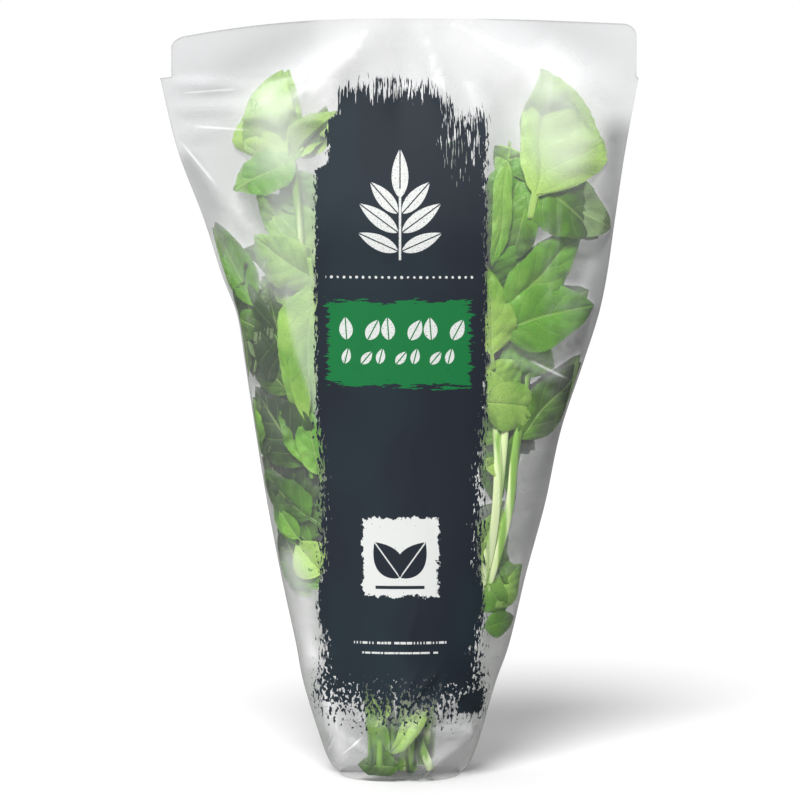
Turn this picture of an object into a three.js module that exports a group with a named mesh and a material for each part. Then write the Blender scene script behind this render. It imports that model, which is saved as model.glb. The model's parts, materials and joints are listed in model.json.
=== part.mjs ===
// A pouch of clear film filled with fresh basil, standing on its rounded foot.
// The whole pouch is one closed solid. It is round at the foot and flat at the top, where the front
// and the back film are welded into a header band. +Z is up, the printed front faces -Y, and the
// origin is the middle of the flat foot. All sizes are in millimetres.
import * as THREE from "three";
import { mergeVertices } from "three/addons/utils/BufferGeometryUtils.js";

// ---- driving sizes ----
const HEIGHT = 350; // foot to the header's top edge
const MOUTH = 323; // height at which the two films meet and the header begins
const WELD_FROM = 284; // from here up to the mouth the back film takes on the front film's folds
const FILM_GAP = 1.2; // the two welded films, thickened so that the header is solid
const EDGE_STEEPNESS = 8; // how quickly that thickness is reached from the side welds

// The header band. Its top edge falls away to both sides, and its upper corners are rounded.
const HEADER = { left: -104.8, right: 108.4, ledge: 0.8, corner: 6 };
const TOP_SLOPES = [
  { from: -10, to: HEADER.left, drop: 9.0, curve: 2.1 },
  { from: 30, to: HEADER.right, drop: 2.4, curve: 1.5 },
];

// The pouch's outline, from foot to mouth: its left and right edge seen from the front, its half
// depth, and the roundness of its section, from 0.42, nearly square, over 0.5, an ellipse, to 1,
// a lens that comes to a sharp edge at the side welds.
const OUTLINE = [
  { z: 0, left: -28.0, right: 28.0, depth: 26.5, roundness: 0.42 },
  { z: 5, left: -32.4, right: 32.4, depth: 30.5, roundness: 0.42 },
  { z: 16, left: -36.8, right: 36.8, depth: 33.6, roundness: 0.44 },
  { z: 43, left: -45.0, right: 44.6, depth: 35.2, roundness: 0.48 },
  { z: 60, left: -48.2, right: 50.6, depth: 35.4, roundness: 0.5 },
  { z: 93, left: -55.2, right: 58.4, depth: 33.6, roundness: 0.5 },
  { z: 126, left: -61.4, right: 67.2, depth: 31.0, roundness: 0.52 },
  { z: 160, left: -66.9, right: 74.4, depth: 28.8, roundness: 0.56 },
  { z: 192, left: -71.6, right: 84.8, depth: 27.4, roundness: 0.6 },
  { z: 214, left: -75.2, right: 91.7, depth: 26.2, roundness: 0.66 },
  { z: 232, left: -82.0, right: 95.4, depth: 24.8, roundness: 0.72 },
  { z: 258, left: -90.3, right: 99.0, depth: 21.6, roundness: 0.8 },
  { z: 290, left: -102.2, right: 103.6, depth: 12.4, roundness: 0.92 },
  { z: MOUTH, left: -110.0, right: 109.4, depth: 0.6, roundness: 1 },
];

// Folds of the film, each a soft ridge or, with a negative rise, a groove along a line from one
// point to another, seen from the front as x and z.
const FRONT_FOLDS = [
  { name: "top left drape", from: [-14, 342], to: [-56, 306], width: 8, rise: 4.4 },
  { name: "top left hollow", from: [-38, 340], to: [-90, 312], width: 13, rise: -3.2 },
  { name: "top middle pleat", from: [11, 343], to: [27, 302], width: 4.5, rise: 3.4 },
  { name: "top middle hollow", from: [0, 338], to: [2, 300], width: 7, rise: -2.2 },
  { name: "top right drape", from: [34, 344], to: [94, 298], width: 11, rise: 4.6 },
  { name: "top right hollow", from: [62, 346], to: [104, 324], width: 11, rise: -2.6 },
  { name: "left pucker 1", from: [-109, 320], to: [-72, 319], width: 3.6, rise: 2.0 },
  { name: "left pucker 2", from: [-107, 308], to: [-76, 309], width: 3.8, rise: 2.2 },
  { name: "left pucker 3", from: [-104, 298], to: [-80, 300], width: 3.6, rise: 1.8 },
  { name: "left long crease", from: [-102, 294], to: [-68, 252], width: 4.2, rise: 4.0 },
  { name: "left shaded hollow", from: [-96, 282], to: [-66, 228], width: 8.5, rise: -4.2 },
  { name: "left shoulder", from: [-66, 250], to: [-48, 196], width: 12, rise: 2.6 },
  { name: "right crease", from: [50, 196], to: [82, 180], width: 4, rise: 3.4 },
  { name: "right hollow", from: [72, 240], to: [62, 150], width: 13, rise: -3.0 },
  { name: "left low crease", from: [-57, 94], to: [-38, 58], width: 5, rise: -3.0 },
  { name: "right low crease", from: [56, 88], to: [39, 42], width: 5.5, rise: -2.6 },
  { name: "foot left pleat", from: [-37, 34], to: [-28, 8], width: 4, rise: 2.8 },
  { name: "foot left hollow", from: [-26, 30], to: [-12, 10], width: 6.5, rise: -2.8 },
  { name: "foot middle ridge", from: [-5, 7], to: [14, 35], width: 4, rise: 3.0 },
  { name: "foot right ridge", from: [10, 5], to: [37, 24], width: 4.5, rise: 2.8 },
];
const BACK_FOLDS = [
  { name: "left crease", from: [-92, 276], to: [-50, 212], width: 5.5, rise: 3.6 },
  { name: "left hollow", from: [-66, 268], to: [-36, 216], width: 9, rise: -3.0 },
  { name: "right crease", from: [92, 252], to: [44, 190], width: 5.5, rise: 3.6 },
  { name: "middle hollow", from: [-14, 238], to: [10, 150], width: 16, rise: -3.4 },
  { name: "left low crease", from: [-57, 106], to: [-18, 58], width: 5.5, rise: 2.8 },
  { name: "right low crease", from: [55, 94], to: [20, 44], width: 6, rise: -3.0 },
  { name: "foot left ridge", from: [-36, 26], to: [-6, 6], width: 4.5, rise: 2.8 },
  { name: "foot right ridge", from: [34, 32], to: [8, 8], width: 4.5, rise: 2.8 },
];
const FOLD_END = 0.12; // how far along its swelling a fold starts and ends, as a share of a half wave

// The header sways out of the pouch's middle plane in a long wave that dies out below the mouth.
const SWAY = { from: 250, depth: 4.2, middle: 12, wavelength: 230 };
// A pucker in the foot's front rim, which splits the rim into two rounded feet.
const RIM_PUCKER = { rise: 1.7, width: 5, from: 12, full: 26, height: 9 };

// How finely the surface is divided.
const BODY_ROWS = 48;
const ROW_CROWDING = 1.12; // above 1, the rows crowd towards the foot, where the outline turns fastest
const HEADER_ROWS = 9;
const HALF_COLUMNS = 46; // across the front, and as many across the back
const FOOT_RINGS = 5;

const { clamp, lerp, smoothstep } = THREE.MathUtils;

// The outline's value of one column at a height, by a smooth curve through the stations.
function outlineAt(column, z) {
  const last = OUTLINE.length - 1;
  const upper = clamp(OUTLINE.findIndex((station) => station.z >= z), 1, last);
  const slopeAt = (i) => {
    const below = OUTLINE[Math.max(i - 1, 0)];
    const above = OUTLINE[Math.min(i + 1, last)];
    return (above[column] - below[column]) / (above.z - below.z);
  };
  const low = OUTLINE[upper - 1];
  const high = OUTLINE[upper];
  const span = high.z - low.z;
  const t = (z - low.z) / span;
  return (
    low[column] * (2 * t ** 3 - 3 * t ** 2 + 1) +
    high[column] * (3 * t ** 2 - 2 * t ** 3) +
    slopeAt(upper - 1) * span * (t ** 3 - 2 * t ** 2 + t) +
    slopeAt(upper) * span * (t ** 3 - t ** 2)
  );
}

// The section at a height. Above the mouth it is the header's, drawn in at the rounded corners.
function sectionAt(z) {
  if (z <= MOUTH) {
    return {
      left: outlineAt("left", z),
      right: outlineAt("right", z),
      depth: outlineAt("depth", z),
      power: 2 * outlineAt("roundness", z),
    };
  }
  const into = clamp((z - (HEIGHT - HEADER.corner)) / HEADER.corner, 0, 1);
  const inset = HEADER.corner * (1 - Math.sqrt(1 - into ** 2));
  return { left: HEADER.left + inset, right: HEADER.right - inset, depth: 0, power: 1 };
}

// How far the folds of one film push it out at a point seen from the front.
function foldRise(folds, x, z) {
  const point = new THREE.Vector2(x, z);
  return folds.reduce((sum, { from, to, width, rise }) => {
    const start = new THREE.Vector2(...from);
    const along = new THREE.Vector2(...to).sub(start);
    const share = clamp(point.clone().sub(start).dot(along) / along.lengthSq(), 0, 1);
    const gap = point.distanceTo(start.addScaledVector(along, share));
    const swelling = Math.sin(Math.PI * lerp(FOLD_END, 1 - FOLD_END, share));
    return sum + rise * swelling * Math.exp(-((gap / width) ** 2));
  }, 0);
}

// The header's sway out of the middle plane.
function swayAt(x, z) {
  const grown = smoothstep(z, SWAY.from, HEIGHT);
  return SWAY.depth * grown * Math.cos((2 * Math.PI * (x - SWAY.middle)) / SWAY.wavelength);
}

// How far the header's sloping top edge draws a point of the header down.
function topDrop(x, z) {
  const drops = TOP_SLOPES.map(({ from, to, drop, curve }) => {
    return drop * clamp((from - x) / (from - to), 0, 1) ** curve;
  });
  return (Math.max(...drops) * Math.max(z - MOUTH, 0)) / (HEIGHT - MOUTH);
}

// How far the pucker raises a point of the foot's front rim.
function puckerLift(x, y, z) {
  const forward = smoothstep(-y, RIM_PUCKER.from, RIM_PUCKER.full);
  const low = 1 - smoothstep(z, 0, RIM_PUCKER.height);
  return RIM_PUCKER.rise * forward * low * Math.exp(-((x / RIM_PUCKER.width) ** 2));
}

// The point of the film at a height and a share of the way from the left to the right side weld.
// Side is -1 on the front film and 1 on the back film.
function filmPoint(z, share, side) {
  const { left, right, depth, power } = sectionAt(z);
  const x = lerp(left, right, (1 - Math.cos(Math.PI * share)) / 2);
  const bow = Math.sin(Math.PI * share);
  const filmGap = (FILM_GAP / 2) * Math.min(1, EDGE_STEEPNESS * bow);
  const swell = Math.max(depth * bow ** power, filmGap);
  const frontFolds = foldRise(FRONT_FOLDS, x, z);
  const welded = smoothstep(z, WELD_FROM, MOUTH);
  const backFolds = lerp(foldRise(BACK_FOLDS, x, z), -frontFolds, welded);
  const out = swell + bow * (side < 0 ? frontFolds : backFolds);
  const y = swayAt(x, z) + side * out;
  return new THREE.Vector3(x, y, z - topDrop(x, z) + puckerLift(x, y, z));
}

// One closed row of points round the pouch: across the front from left to right, and back.
function filmRow(z) {
  const shares = Array.from({ length: HALF_COLUMNS }, (_, i) => i / HALF_COLUMNS);
  return [
    ...shares.map((share) => filmPoint(z, share, -1)),
    ...shares.map((share) => filmPoint(z, 1 - share, 1)),
  ];
}

// A row of the flat foot: the lowest row of the film drawn in towards the origin.
function footRow(share) {
  return filmRow(0).map(({ x, y }) => {
    const [near, far] = [x * share, y * share];
    return new THREE.Vector3(near, far, puckerLift(near, far, 0));
  });
}

// The rows from the middle of the foot up to the header's top edge.
function pouchRows() {
  const steps = (count, rowAt) => Array.from({ length: count }, (_, i) => rowAt(i));
  const headerFoot = MOUTH + HEADER.ledge;
  return [
    ...steps(FOOT_RINGS - 1, (i) => footRow((i + 1) / FOOT_RINGS)),
    ...steps(BODY_ROWS + 1, (i) => filmRow(MOUTH * (i / BODY_ROWS) ** ROW_CROWDING)),
    // The header's rows crowd towards its rounded upper corners.
    ...steps(HEADER_ROWS + 1, (i) => filmRow(lerp(HEIGHT, headerFoot, (1 - i / HEADER_ROWS) ** 2))),
  ];
}

function pouchGeometry() {
  const rows = pouchRows();
  const count = 2 * HALF_COLUMNS;
  const points = rows.flat();
  const faces = [];
  for (let row = 0; row + 1 < rows.length; row++) {
    for (let i = 0; i < count; i++) {
      const [a, b] = [row * count + i, row * count + ((i + 1) % count)];
      faces.push(a, b, b + count, a, b + count, a + count);
    }
  }
  const origin = points.push(new THREE.Vector3(0, 0, 0)) - 1;
  for (let i = 0; i < count; i++) faces.push(origin, (i + 1) % count, i);
  // The header's top edge joins the front film's points to the back film's.
  const top = (rows.length - 1) * count;
  for (let i = 0; i < HALF_COLUMNS; i++) {
    const [a, b] = [top + i, top + i + 1];
    const [c, d] = [top + count - i - 1, top + ((count - i) % count)];
    if (i > 0) faces.push(a, c, d);
    if (i + 1 < HALF_COLUMNS) faces.push(a, b, c);
  }
  const geometry = new THREE.BufferGeometry().setFromPoints(points).setIndex(faces);
  return mergeVertices(geometry, 1e-4);
}

const film = new THREE.MeshStandardMaterial({ color: 0x7fb069, roughness: 0.3, metalness: 0 });
const pouch = new THREE.Mesh(pouchGeometry(), film);
pouch.name = "basil_pouch";

const part = new THREE.Group();
part.add(pouch);

export default part;
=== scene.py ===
"""A pouch of clear printed film, filled with sprigs of fresh basil, standing on a pale floor.

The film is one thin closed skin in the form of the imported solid, with the finer creases of real
film. The sprigs inside are stems and leaves of true size, and whatever would come through the
film is pressed flat against it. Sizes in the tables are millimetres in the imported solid's frame:
+X is right, -Y is out of the printed front, and +Z is up.
"""

import json
import math
from functools import partialmethod

import bpy
import numpy as np
from bpy.props import FloatProperty, FloatVectorProperty, IntProperty, PointerProperty
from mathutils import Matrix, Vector
from mathutils.bvhtree import BVHTree

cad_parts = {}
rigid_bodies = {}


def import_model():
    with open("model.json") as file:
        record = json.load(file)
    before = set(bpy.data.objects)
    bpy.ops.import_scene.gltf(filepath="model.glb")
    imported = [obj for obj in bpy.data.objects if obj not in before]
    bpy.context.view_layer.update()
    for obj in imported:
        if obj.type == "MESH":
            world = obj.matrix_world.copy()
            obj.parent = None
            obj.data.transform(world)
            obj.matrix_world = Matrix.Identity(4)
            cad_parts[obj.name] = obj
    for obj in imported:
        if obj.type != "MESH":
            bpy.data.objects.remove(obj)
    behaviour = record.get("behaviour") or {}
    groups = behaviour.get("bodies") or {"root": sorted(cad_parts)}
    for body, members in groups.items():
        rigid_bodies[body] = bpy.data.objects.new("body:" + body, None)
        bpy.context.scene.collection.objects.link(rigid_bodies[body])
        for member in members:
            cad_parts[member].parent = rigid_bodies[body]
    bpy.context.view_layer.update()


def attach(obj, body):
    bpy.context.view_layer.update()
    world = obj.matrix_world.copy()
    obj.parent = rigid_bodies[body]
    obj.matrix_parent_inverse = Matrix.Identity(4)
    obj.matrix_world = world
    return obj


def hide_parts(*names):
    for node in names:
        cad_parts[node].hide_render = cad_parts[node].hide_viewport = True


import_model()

bl_info = {
    "name": "Basil pouch",
    "version": (1, 0, 0),
    "blender": (4, 5, 0),
    "location": "3D View > Sidebar > Basil",
    "description": "Makes a clear printed pouch of fresh basil around its packed solid",
    "category": "Object",
}

POUCH = "basil_pouch"
MM = 0.001

# ---- the pouch's form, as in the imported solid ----
HEIGHT = 350.0
MOUTH = 323.0
WELD_FROM = 284.0
FILM_GAP = 1.0
EDGE_STEEPNESS = 8.0
HEADER_LEFT, HEADER_RIGHT, HEADER_CORNER, HEADER_LEDGE = -104.8, 108.4, 6.0, 0.8
# The header's top edge falls away to both sides: from x, to x, drop and curve.
TOP_SLOPES = [(-10.0, HEADER_LEFT, 9.0, 2.1), (30.0, HEADER_RIGHT, 2.4, 1.5)]
SWAY_FROM, SWAY_DEPTH, SWAY_MIDDLE, SWAY_LENGTH = 250.0, 4.2, 12.0, 230.0
RIM_RISE, RIM_WIDTH, RIM_FROM, RIM_FULL, RIM_HEIGHT = 1.7, 5.0, 12.0, 26.0, 9.0
FOLD_END = 0.12  # share of a fold's swell that is cut off at each end

# Height, left edge, right edge, half depth and roundness of the section.
OUTLINE = np.array([
    (0, -28.0, 28.0, 26.5, 0.42),
    (5, -32.4, 32.4, 30.5, 0.42),
    (16, -36.8, 36.8, 33.6, 0.44),
    (43, -45.0, 44.6, 35.2, 0.48),
    (60, -48.2, 50.6, 35.4, 0.5),
    (93, -55.2, 58.4, 33.6, 0.5),
    (126, -61.4, 67.2, 31.0, 0.52),
    (160, -66.9, 74.4, 28.8, 0.56),
    (192, -71.6, 84.8, 27.4, 0.6),
    (214, -75.2, 91.7, 26.2, 0.66),
    (232, -82.0, 95.4, 24.8, 0.72),
    (258, -90.3, 99.0, 21.6, 0.8),
    (290, -102.2, 103.6, 12.4, 0.92),
    (MOUTH, -110.0, 109.4, 0.6, 1.0),
])

# Soft folds: from x, z to x, z, width and rise.
FRONT_FOLDS = [
    (-14, 342, -56, 306, 8, 4.4), (-38, 340, -90, 312, 13, -3.2), (11, 343, 27, 302, 4.5, 3.4),
    (0, 338, 2, 300, 7, -2.2), (34, 344, 94, 298, 11, 4.6), (62, 346, 104, 324, 11, -2.6),
    (-109, 320, -72, 319, 3.6, 2.0), (-107, 308, -76, 309, 3.8, 2.2),
    (-104, 298, -80, 300, 3.6, 1.8), (-102, 294, -68, 252, 4.2, 4.0),
    (-96, 282, -66, 228, 8.5, -4.2), (-66, 250, -48, 196, 12, 2.6), (50, 196, 82, 180, 4, 3.4),
    (72, 240, 62, 150, 13, -3.0), (-57, 94, -38, 58, 5, -3.0), (56, 88, 39, 42, 5.5, -2.6),
    (-37, 34, -28, 8, 4, 2.8), (-26, 30, -12, 10, 6.5, -2.8), (-5, 7, 14, 35, 4, 3.0),
    (10, 5, 37, 24, 4.5, 2.8),
]
BACK_FOLDS = [
    (-92, 276, -50, 212, 5.5, 3.6), (-66, 268, -36, 216, 9, -3.0), (92, 252, 44, 190, 5.5, 3.6),
    (-14, 238, 10, 150, 16, -3.4), (-57, 106, -18, 58, 5.5, 2.8), (55, 94, 20, 44, 6, -3.0),
    (-36, 26, -6, 6, 4.5, 2.8), (34, 32, 8, 8, 4.5, 2.8),
]

# ---- how finely the film is divided, and how it is creased ----
FILM_ROWS = 176
FILM_HEADER_ROWS = 22
FILM_COLUMNS = 128
FOOT_RINGS = 18
ROW_CROWDING = 1.12
# How free the film is by its gap to the leaf behind it.
FREE_BY_GAP = (1.5, 6.0, 13.0, 20.0, 28.0), (0.0, 0.12, 0.5, 0.8, 1.0)
FREE_GAP = FREE_BY_GAP[0][-1]


def smoothstep(value, low, high):
    t = np.clip((value - low) / (high - low), 0, 1)
    return t * t * (3 - 2 * t)


def outline_at(z):
    """Left edge, right edge, half depth and section power of the pouch at heights up to its mouth."""
    stations = OUTLINE[:, 0]
    last = len(stations) - 1
    upper = np.clip(np.searchsorted(stations, z), 1, last)

    def slope(i):
        below, above = OUTLINE[np.maximum(i - 1, 0)], OUTLINE[np.minimum(i + 1, last)]
        return (above - below) / (above[:, :1] - below[:, :1])

    low, high = OUTLINE[upper - 1], OUTLINE[upper]
    span = high[:, :1] - low[:, :1]
    t = (np.asarray(z)[:, None] - low[:, :1]) / span
    value = (
        low * (2 * t**3 - 3 * t**2 + 1)
        + high * (3 * t**2 - 2 * t**3)
        + slope(upper - 1) * span * (t**3 - 2 * t**2 + t)
        + slope(upper) * span * (t**3 - t**2)
    )
    return value[:, 1], value[:, 2], value[:, 3], 2 * value[:, 4]


def section_at(z):
    """As outline_at, and the header above the mouth, drawn in at its rounded corners."""
    left, right, depth, power = outline_at(np.minimum(z, MOUTH))
    into = np.clip((z - (HEIGHT - HEADER_CORNER)) / HEADER_CORNER, 0, 1)
    inset = HEADER_CORNER * (1 - np.sqrt(1 - into**2))
    header = z > MOUTH
    left = np.where(header, HEADER_LEFT + inset, left)
    right = np.where(header, HEADER_RIGHT - inset, right)
    return left, right, np.where(header, 0.0, depth), np.where(header, 1.0, power)


def fold_rise(folds, x, z):
    """How far soft folds push a film out at points seen from the front."""
    total = np.zeros_like(x)
    for from_x, from_z, to_x, to_z, width, rise in folds:
        along_x, along_z = to_x - from_x, to_z - from_z
        share = ((x - from_x) * along_x + (z - from_z) * along_z) / (along_x**2 + along_z**2)
        share = np.clip(share, 0, 1)
        gap2 = (x - from_x - share * along_x) ** 2 + (z - from_z - share * along_z) ** 2
        swelling = np.sin(np.pi * (FOLD_END + (1 - 2 * FOLD_END) * share))
        total += rise * swelling * np.exp(-gap2 / width**2)
    return total


def sway_at(x, z):
    """The header's long wave out of the pouch's middle plane."""
    grown = smoothstep(z, SWAY_FROM, HEIGHT)
    return SWAY_DEPTH * grown * np.cos(2 * np.pi * (x - SWAY_MIDDLE) / SWAY_LENGTH)


def swellings(x, z, bow, depth, power):
    """How far the front and the back film stand out from the swaying middle plane."""
    swell = np.maximum(depth * bow**power, FILM_GAP / 2 * np.minimum(1, EDGE_STEEPNESS * bow))
    front_folds = fold_rise(FRONT_FOLDS, x, z)
    welded = smoothstep(z, WELD_FROM, MOUTH)
    back_folds = fold_rise(BACK_FOLDS, x, z) * (1 - welded) - front_folds * welded
    return swell + bow * front_folds, swell + bow * back_folds


def film_surface(z, share, side):
    """Points of the film at heights and shares of the way from the left to the right weld."""
    left, right, depth, power = section_at(z)
    x = left + (right - left) * (1 - np.cos(np.pi * share)) / 2
    bow = np.maximum(np.sin(np.pi * share), 0)
    front, back = swellings(x, z, bow, depth, power)
    y = sway_at(x, z) + np.where(side < 0, -front, back)
    drop = np.maximum(*(
        fall * np.clip((start - x) / (start - end), 0, 1) ** curve
        for start, end, fall, curve in TOP_SLOPES
    ))
    drop = drop * np.maximum(z - MOUTH, 0) / (HEIGHT - MOUTH)
    return np.stack([x, y, z - drop + rim_lift(x, y, z)], axis=-1)


def rim_lift(x, y, z):
    """How far the pucker raises the foot's front rim."""
    forward = smoothstep(-y, RIM_FROM, RIM_FULL)
    return RIM_RISE * forward * (1 - smoothstep(z, 0, RIM_HEIGHT)) * np.exp(-((x / RIM_WIDTH) ** 2))


def room_at(x, z):
    """The y of the front and of the back film at points seen from the front, inside the outline."""
    left, right, depth, power = section_at(np.clip(z, 0, MOUTH))
    across = np.clip(1 - 2 * (x - left) / (right - left), -1, 1)
    front, back = swellings(x, z, np.sqrt(1 - across**2), depth, power)
    sway = sway_at(x, z)
    return sway - front, sway + back


LEAVES_BEND_AT, LEAVES_END = 322.0, 328.0  # between these heights leaf tips are bent down
LOWEST_SPRIG = 3.0
SIDE_GAP, FILM_CLEARANCE = 0.5, 0.9  # kept free at the side welds, and behind each film
SIDE_STIFFNESS = 0.93
LOOSE_STIFFNESS, PRESSED_STIFFNESS = 0.72, 0.9  # how far out a sprig keeps its own form


def pressed_inside(points, depth=None):
    """The points drawn into the pouch: what would come through the film lies flat against it.

    Where a depth is given, the point is first laid that deep behind the nearer film.
    """
    x, y, z = points.T.copy()
    room = LEAVES_END - LEAVES_BEND_AT
    bent = LEAVES_BEND_AT + room * eased((z - LEAVES_BEND_AT) / room, 0)
    z = np.where(z > LEAVES_BEND_AT, bent, np.maximum(z, LOWEST_SPRIG))
    left, right, _, _ = section_at(z)
    middle, half = (left + right) / 2, (right - left) / 2 - SIDE_GAP
    x = middle + half * eased((x - middle) / half, SIDE_STIFFNESS)
    front, back = room_at(x, z)
    stiff = LOOSE_STIFFNESS
    if depth is not None:
        laid = np.where(depth > 0, front, back) + depth + LEAF_RELIEF * y
        y = np.where(depth == 0, y, laid)
        stiff = np.where(depth == 0, LOOSE_STIFFNESS, PRESSED_STIFFNESS)
    middle, half = (front + back) / 2, np.maximum((back - front) / 2 - FILM_CLEARANCE, 0.15)
    y = middle + half * eased((y - middle) / half, stiff)
    return np.stack([x, y, z], axis=-1)


def eased(share, straight):
    """A share that runs on unchanged up to straight, and then bends off so that it stays under 1."""
    over = np.maximum(np.abs(share) - straight, 0) / (1 - straight)
    return np.sign(share) * (np.minimum(np.abs(share), straight) + (1 - straight) * np.tanh(over))


# ---------------------------------------------------------------- creases of the film

CREASE_SEED = 11
PUCKERS_FROM, PUCKERS_TO, PUCKER_PITCH = 60, 318, 13
HANGING_CREASES, FOOT_CREASES, MOUTH_PLEATS = 20, 26, 9
CREASE_END = 0.06  # share of a crease's swell that is cut off at each end
WELD_CREASES_FROM = MOUTH - 18
EDGE_CALM, FOOT_CALM = 5, 6  # the creases fade this near to the side welds and to the foot's rim


def creases(rng):
    """Sharp creases of one film: from x, z to x, z, the widths of its two flanks, and rise."""
    lines = []
    # Puckers run in from the side welds.
    for weld in (-1, 1):
        for z in np.arange(PUCKERS_FROM, PUCKERS_TO, PUCKER_PITCH):
            z = z + rng.uniform(-3, 3)
            left, right, _, _ = section_at(np.array([z]))
            edge = (left if weld < 0 else right)[0]
            length = rng.uniform(10, 30)
            slant = rng.uniform(-0.5, 0.35)
            lines.append((edge - weld * 1.5, z, edge - weld * length, z + slant * length,
                          rng.uniform(0.9, 1.8), rng.uniform(2.5, 5.5), rng.uniform(0.1, 0.5)))
    # Long soft creases hang down the body, and shorter ones cross them.
    for _ in range(HANGING_CREASES):
        z = rng.uniform(50, 300)
        left, right, _, _ = section_at(np.array([z]))
        x = rng.uniform(0.88 * left[0], 0.88 * right[0])
        length = rng.uniform(22, 80)
        lean = rng.normal(0, 0.3) + 0.0022 * x
        rise = rng.uniform(0.2, 0.6) * rng.choice([-1, 1], p=[0.35, 0.65])
        lines.append((x, z, x - lean * length, z - length,
                      rng.uniform(1.0, 2.2), rng.uniform(3.0, 6.5), rise))
    # The foot is folded: short flat facets meet in sharp creases.
    for _ in range(FOOT_CREASES):
        x, z = rng.uniform(-40, 40), rng.uniform(4, 34)
        turn = rng.uniform(0, math.pi)
        length = rng.uniform(12, 34)
        lines.append((x, z, x + length * math.cos(turn), z + length * math.sin(turn),
                      rng.uniform(0.8, 1.4), rng.uniform(3.0, 7.0), rng.uniform(0.5, 1.5)))
    # The mouth is gathered in small pleats.
    for _ in range(MOUTH_PLEATS):
        x = rng.uniform(-96, 98)
        length = rng.uniform(8, 30)
        lines.append((x, rng.uniform(322, 348), x + rng.normal(0, 0.5) * length,
                      rng.uniform(296, 318), rng.uniform(2.0, 4.0), rng.uniform(4.0, 8.0),
                      rng.uniform(0.2, 0.6)))
    return lines


def crease_rise(lines, x, z):
    """How far sharp creases push a film out. Each has one steep and one gentle flank."""
    total = np.zeros_like(x)
    for from_x, from_z, to_x, to_z, steep, gentle, rise in lines:
        along_x, along_z = to_x - from_x, to_z - from_z
        length2 = along_x**2 + along_z**2
        share = np.clip(((x - from_x) * along_x + (z - from_z) * along_z) / length2, 0, 1)
        off_x, off_z = x - from_x - share * along_x, z - from_z - share * along_z
        gap = np.hypot(off_x, off_z)
        width = np.where(off_x * along_z - off_z * along_x > 0, steep, gentle)
        swelling = np.sin(np.pi * (CREASE_END + (1 - 2 * CREASE_END) * share))
        total += rise * swelling * np.exp(-gap / width)
    return total


def film_grid():
    """The film's points row by row, each point's side, and the same side with 0 at the two welds."""
    rows = np.concatenate([
        MOUTH * (np.arange(FILM_ROWS + 1) / FILM_ROWS) ** ROW_CROWDING,
        HEIGHT - (HEIGHT - MOUTH - HEADER_LEDGE)
        * (1 - np.arange(FILM_HEADER_ROWS + 1) / FILM_HEADER_ROWS) ** 2,
    ])
    shares = np.arange(FILM_COLUMNS) / FILM_COLUMNS
    share = np.concatenate([shares, 1 - shares])
    side = np.concatenate([-np.ones(FILM_COLUMNS), np.ones(FILM_COLUMNS)])
    z, across = np.meshgrid(rows, share, indexing="ij")
    sides = np.broadcast_to(side, z.shape)
    base = film_surface(z.ravel(), across.ravel(), sides.ravel()).reshape(*z.shape, 3)
    return base, sides, np.where((across <= 0) | (across >= 1), 0.0, sides)


def grid_normals(grid):
    """Outward normals of a closed ring surface given row by row."""
    around = np.roll(grid, -1, axis=1) - np.roll(grid, 1, axis=1)
    upward = np.gradient(grid, axis=0)
    normals = np.cross(around, upward)
    return normals / np.maximum(np.linalg.norm(normals, axis=-1, keepdims=True), 1e-9)


def creased_film():
    """The film's points with their creases, and their places on the film."""
    base, sides, flags = film_grid()
    normals = grid_normals(base)
    rng = np.random.default_rng(CREASE_SEED)
    x, z = base[..., 0], base[..., 2]
    front = crease_rise(creases(rng), x, z)
    back = crease_rise(creases(rng), x, z)
    welded = smoothstep(z, WELD_CREASES_FROM, MOUTH)
    rise = np.where(sides < 0, front, back * (1 - welded) - front * welded)
    left, right, _, _ = section_at(np.minimum(z.ravel(), HEIGHT - 1e-6))
    room = np.minimum(x.ravel() - left, right - x.ravel()).reshape(x.shape)
    rise = rise * smoothstep(room, 0, EDGE_CALM) * smoothstep(z, 0, FOOT_CALM)
    points = base + normals * rise[..., None]
    places = np.stack([along_film(base), flags, z], axis=-1)
    return points, places


def along_film(grid):
    """Each point's distance along its film from the pouch's middle plane x = 0, signed like x."""
    steps = np.linalg.norm(np.diff(grid[:, : FILM_COLUMNS + 1, :2], axis=1), axis=-1)
    length = np.concatenate([np.zeros((len(grid), 1)), np.cumsum(steps, axis=1)], axis=1)
    result = np.empty(grid.shape[:2])
    for row in range(len(grid)):
        front = length[row] - np.interp(0, grid[row, : FILM_COLUMNS + 1, 0], length[row])
        result[row, : FILM_COLUMNS + 1] = front
        result[row, FILM_COLUMNS + 1 :] = front[FILM_COLUMNS - 1 : 0 : -1]
    return result


# ---------------------------------------------------------------- meshes

def new_object(name, points, faces, **attributes):
    """An object at the origin with its place in its mesh, from points in millimetres."""
    mesh = bpy.data.meshes.new(name)
    mesh.from_pydata((np.asarray(points) * MM).tolist(), [], faces)
    for key, values in attributes.items():
        kind = "FLOAT_VECTOR" if np.ndim(values) == 2 else "FLOAT"
        data = mesh.attributes.new(key, kind, "POINT").data
        data.foreach_set("vector" if kind == "FLOAT_VECTOR" else "value", np.ravel(values))
    mesh.shade_smooth()
    mesh.update()
    piece = bpy.data.objects.new(name, mesh)
    bpy.context.scene.collection.objects.link(piece)
    return piece


def mesh_points(piece):
    points = np.empty(3 * len(piece.data.vertices))
    piece.data.vertices.foreach_get("co", points)
    return points.reshape(-1, 3) / MM


def move_points(piece, points):
    piece.data.vertices.foreach_set("co", (points * MM).ravel())
    piece.data.update()


def as_piece(piece):
    """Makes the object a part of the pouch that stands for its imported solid."""
    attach(piece, "root")
    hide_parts(POUCH)


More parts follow.
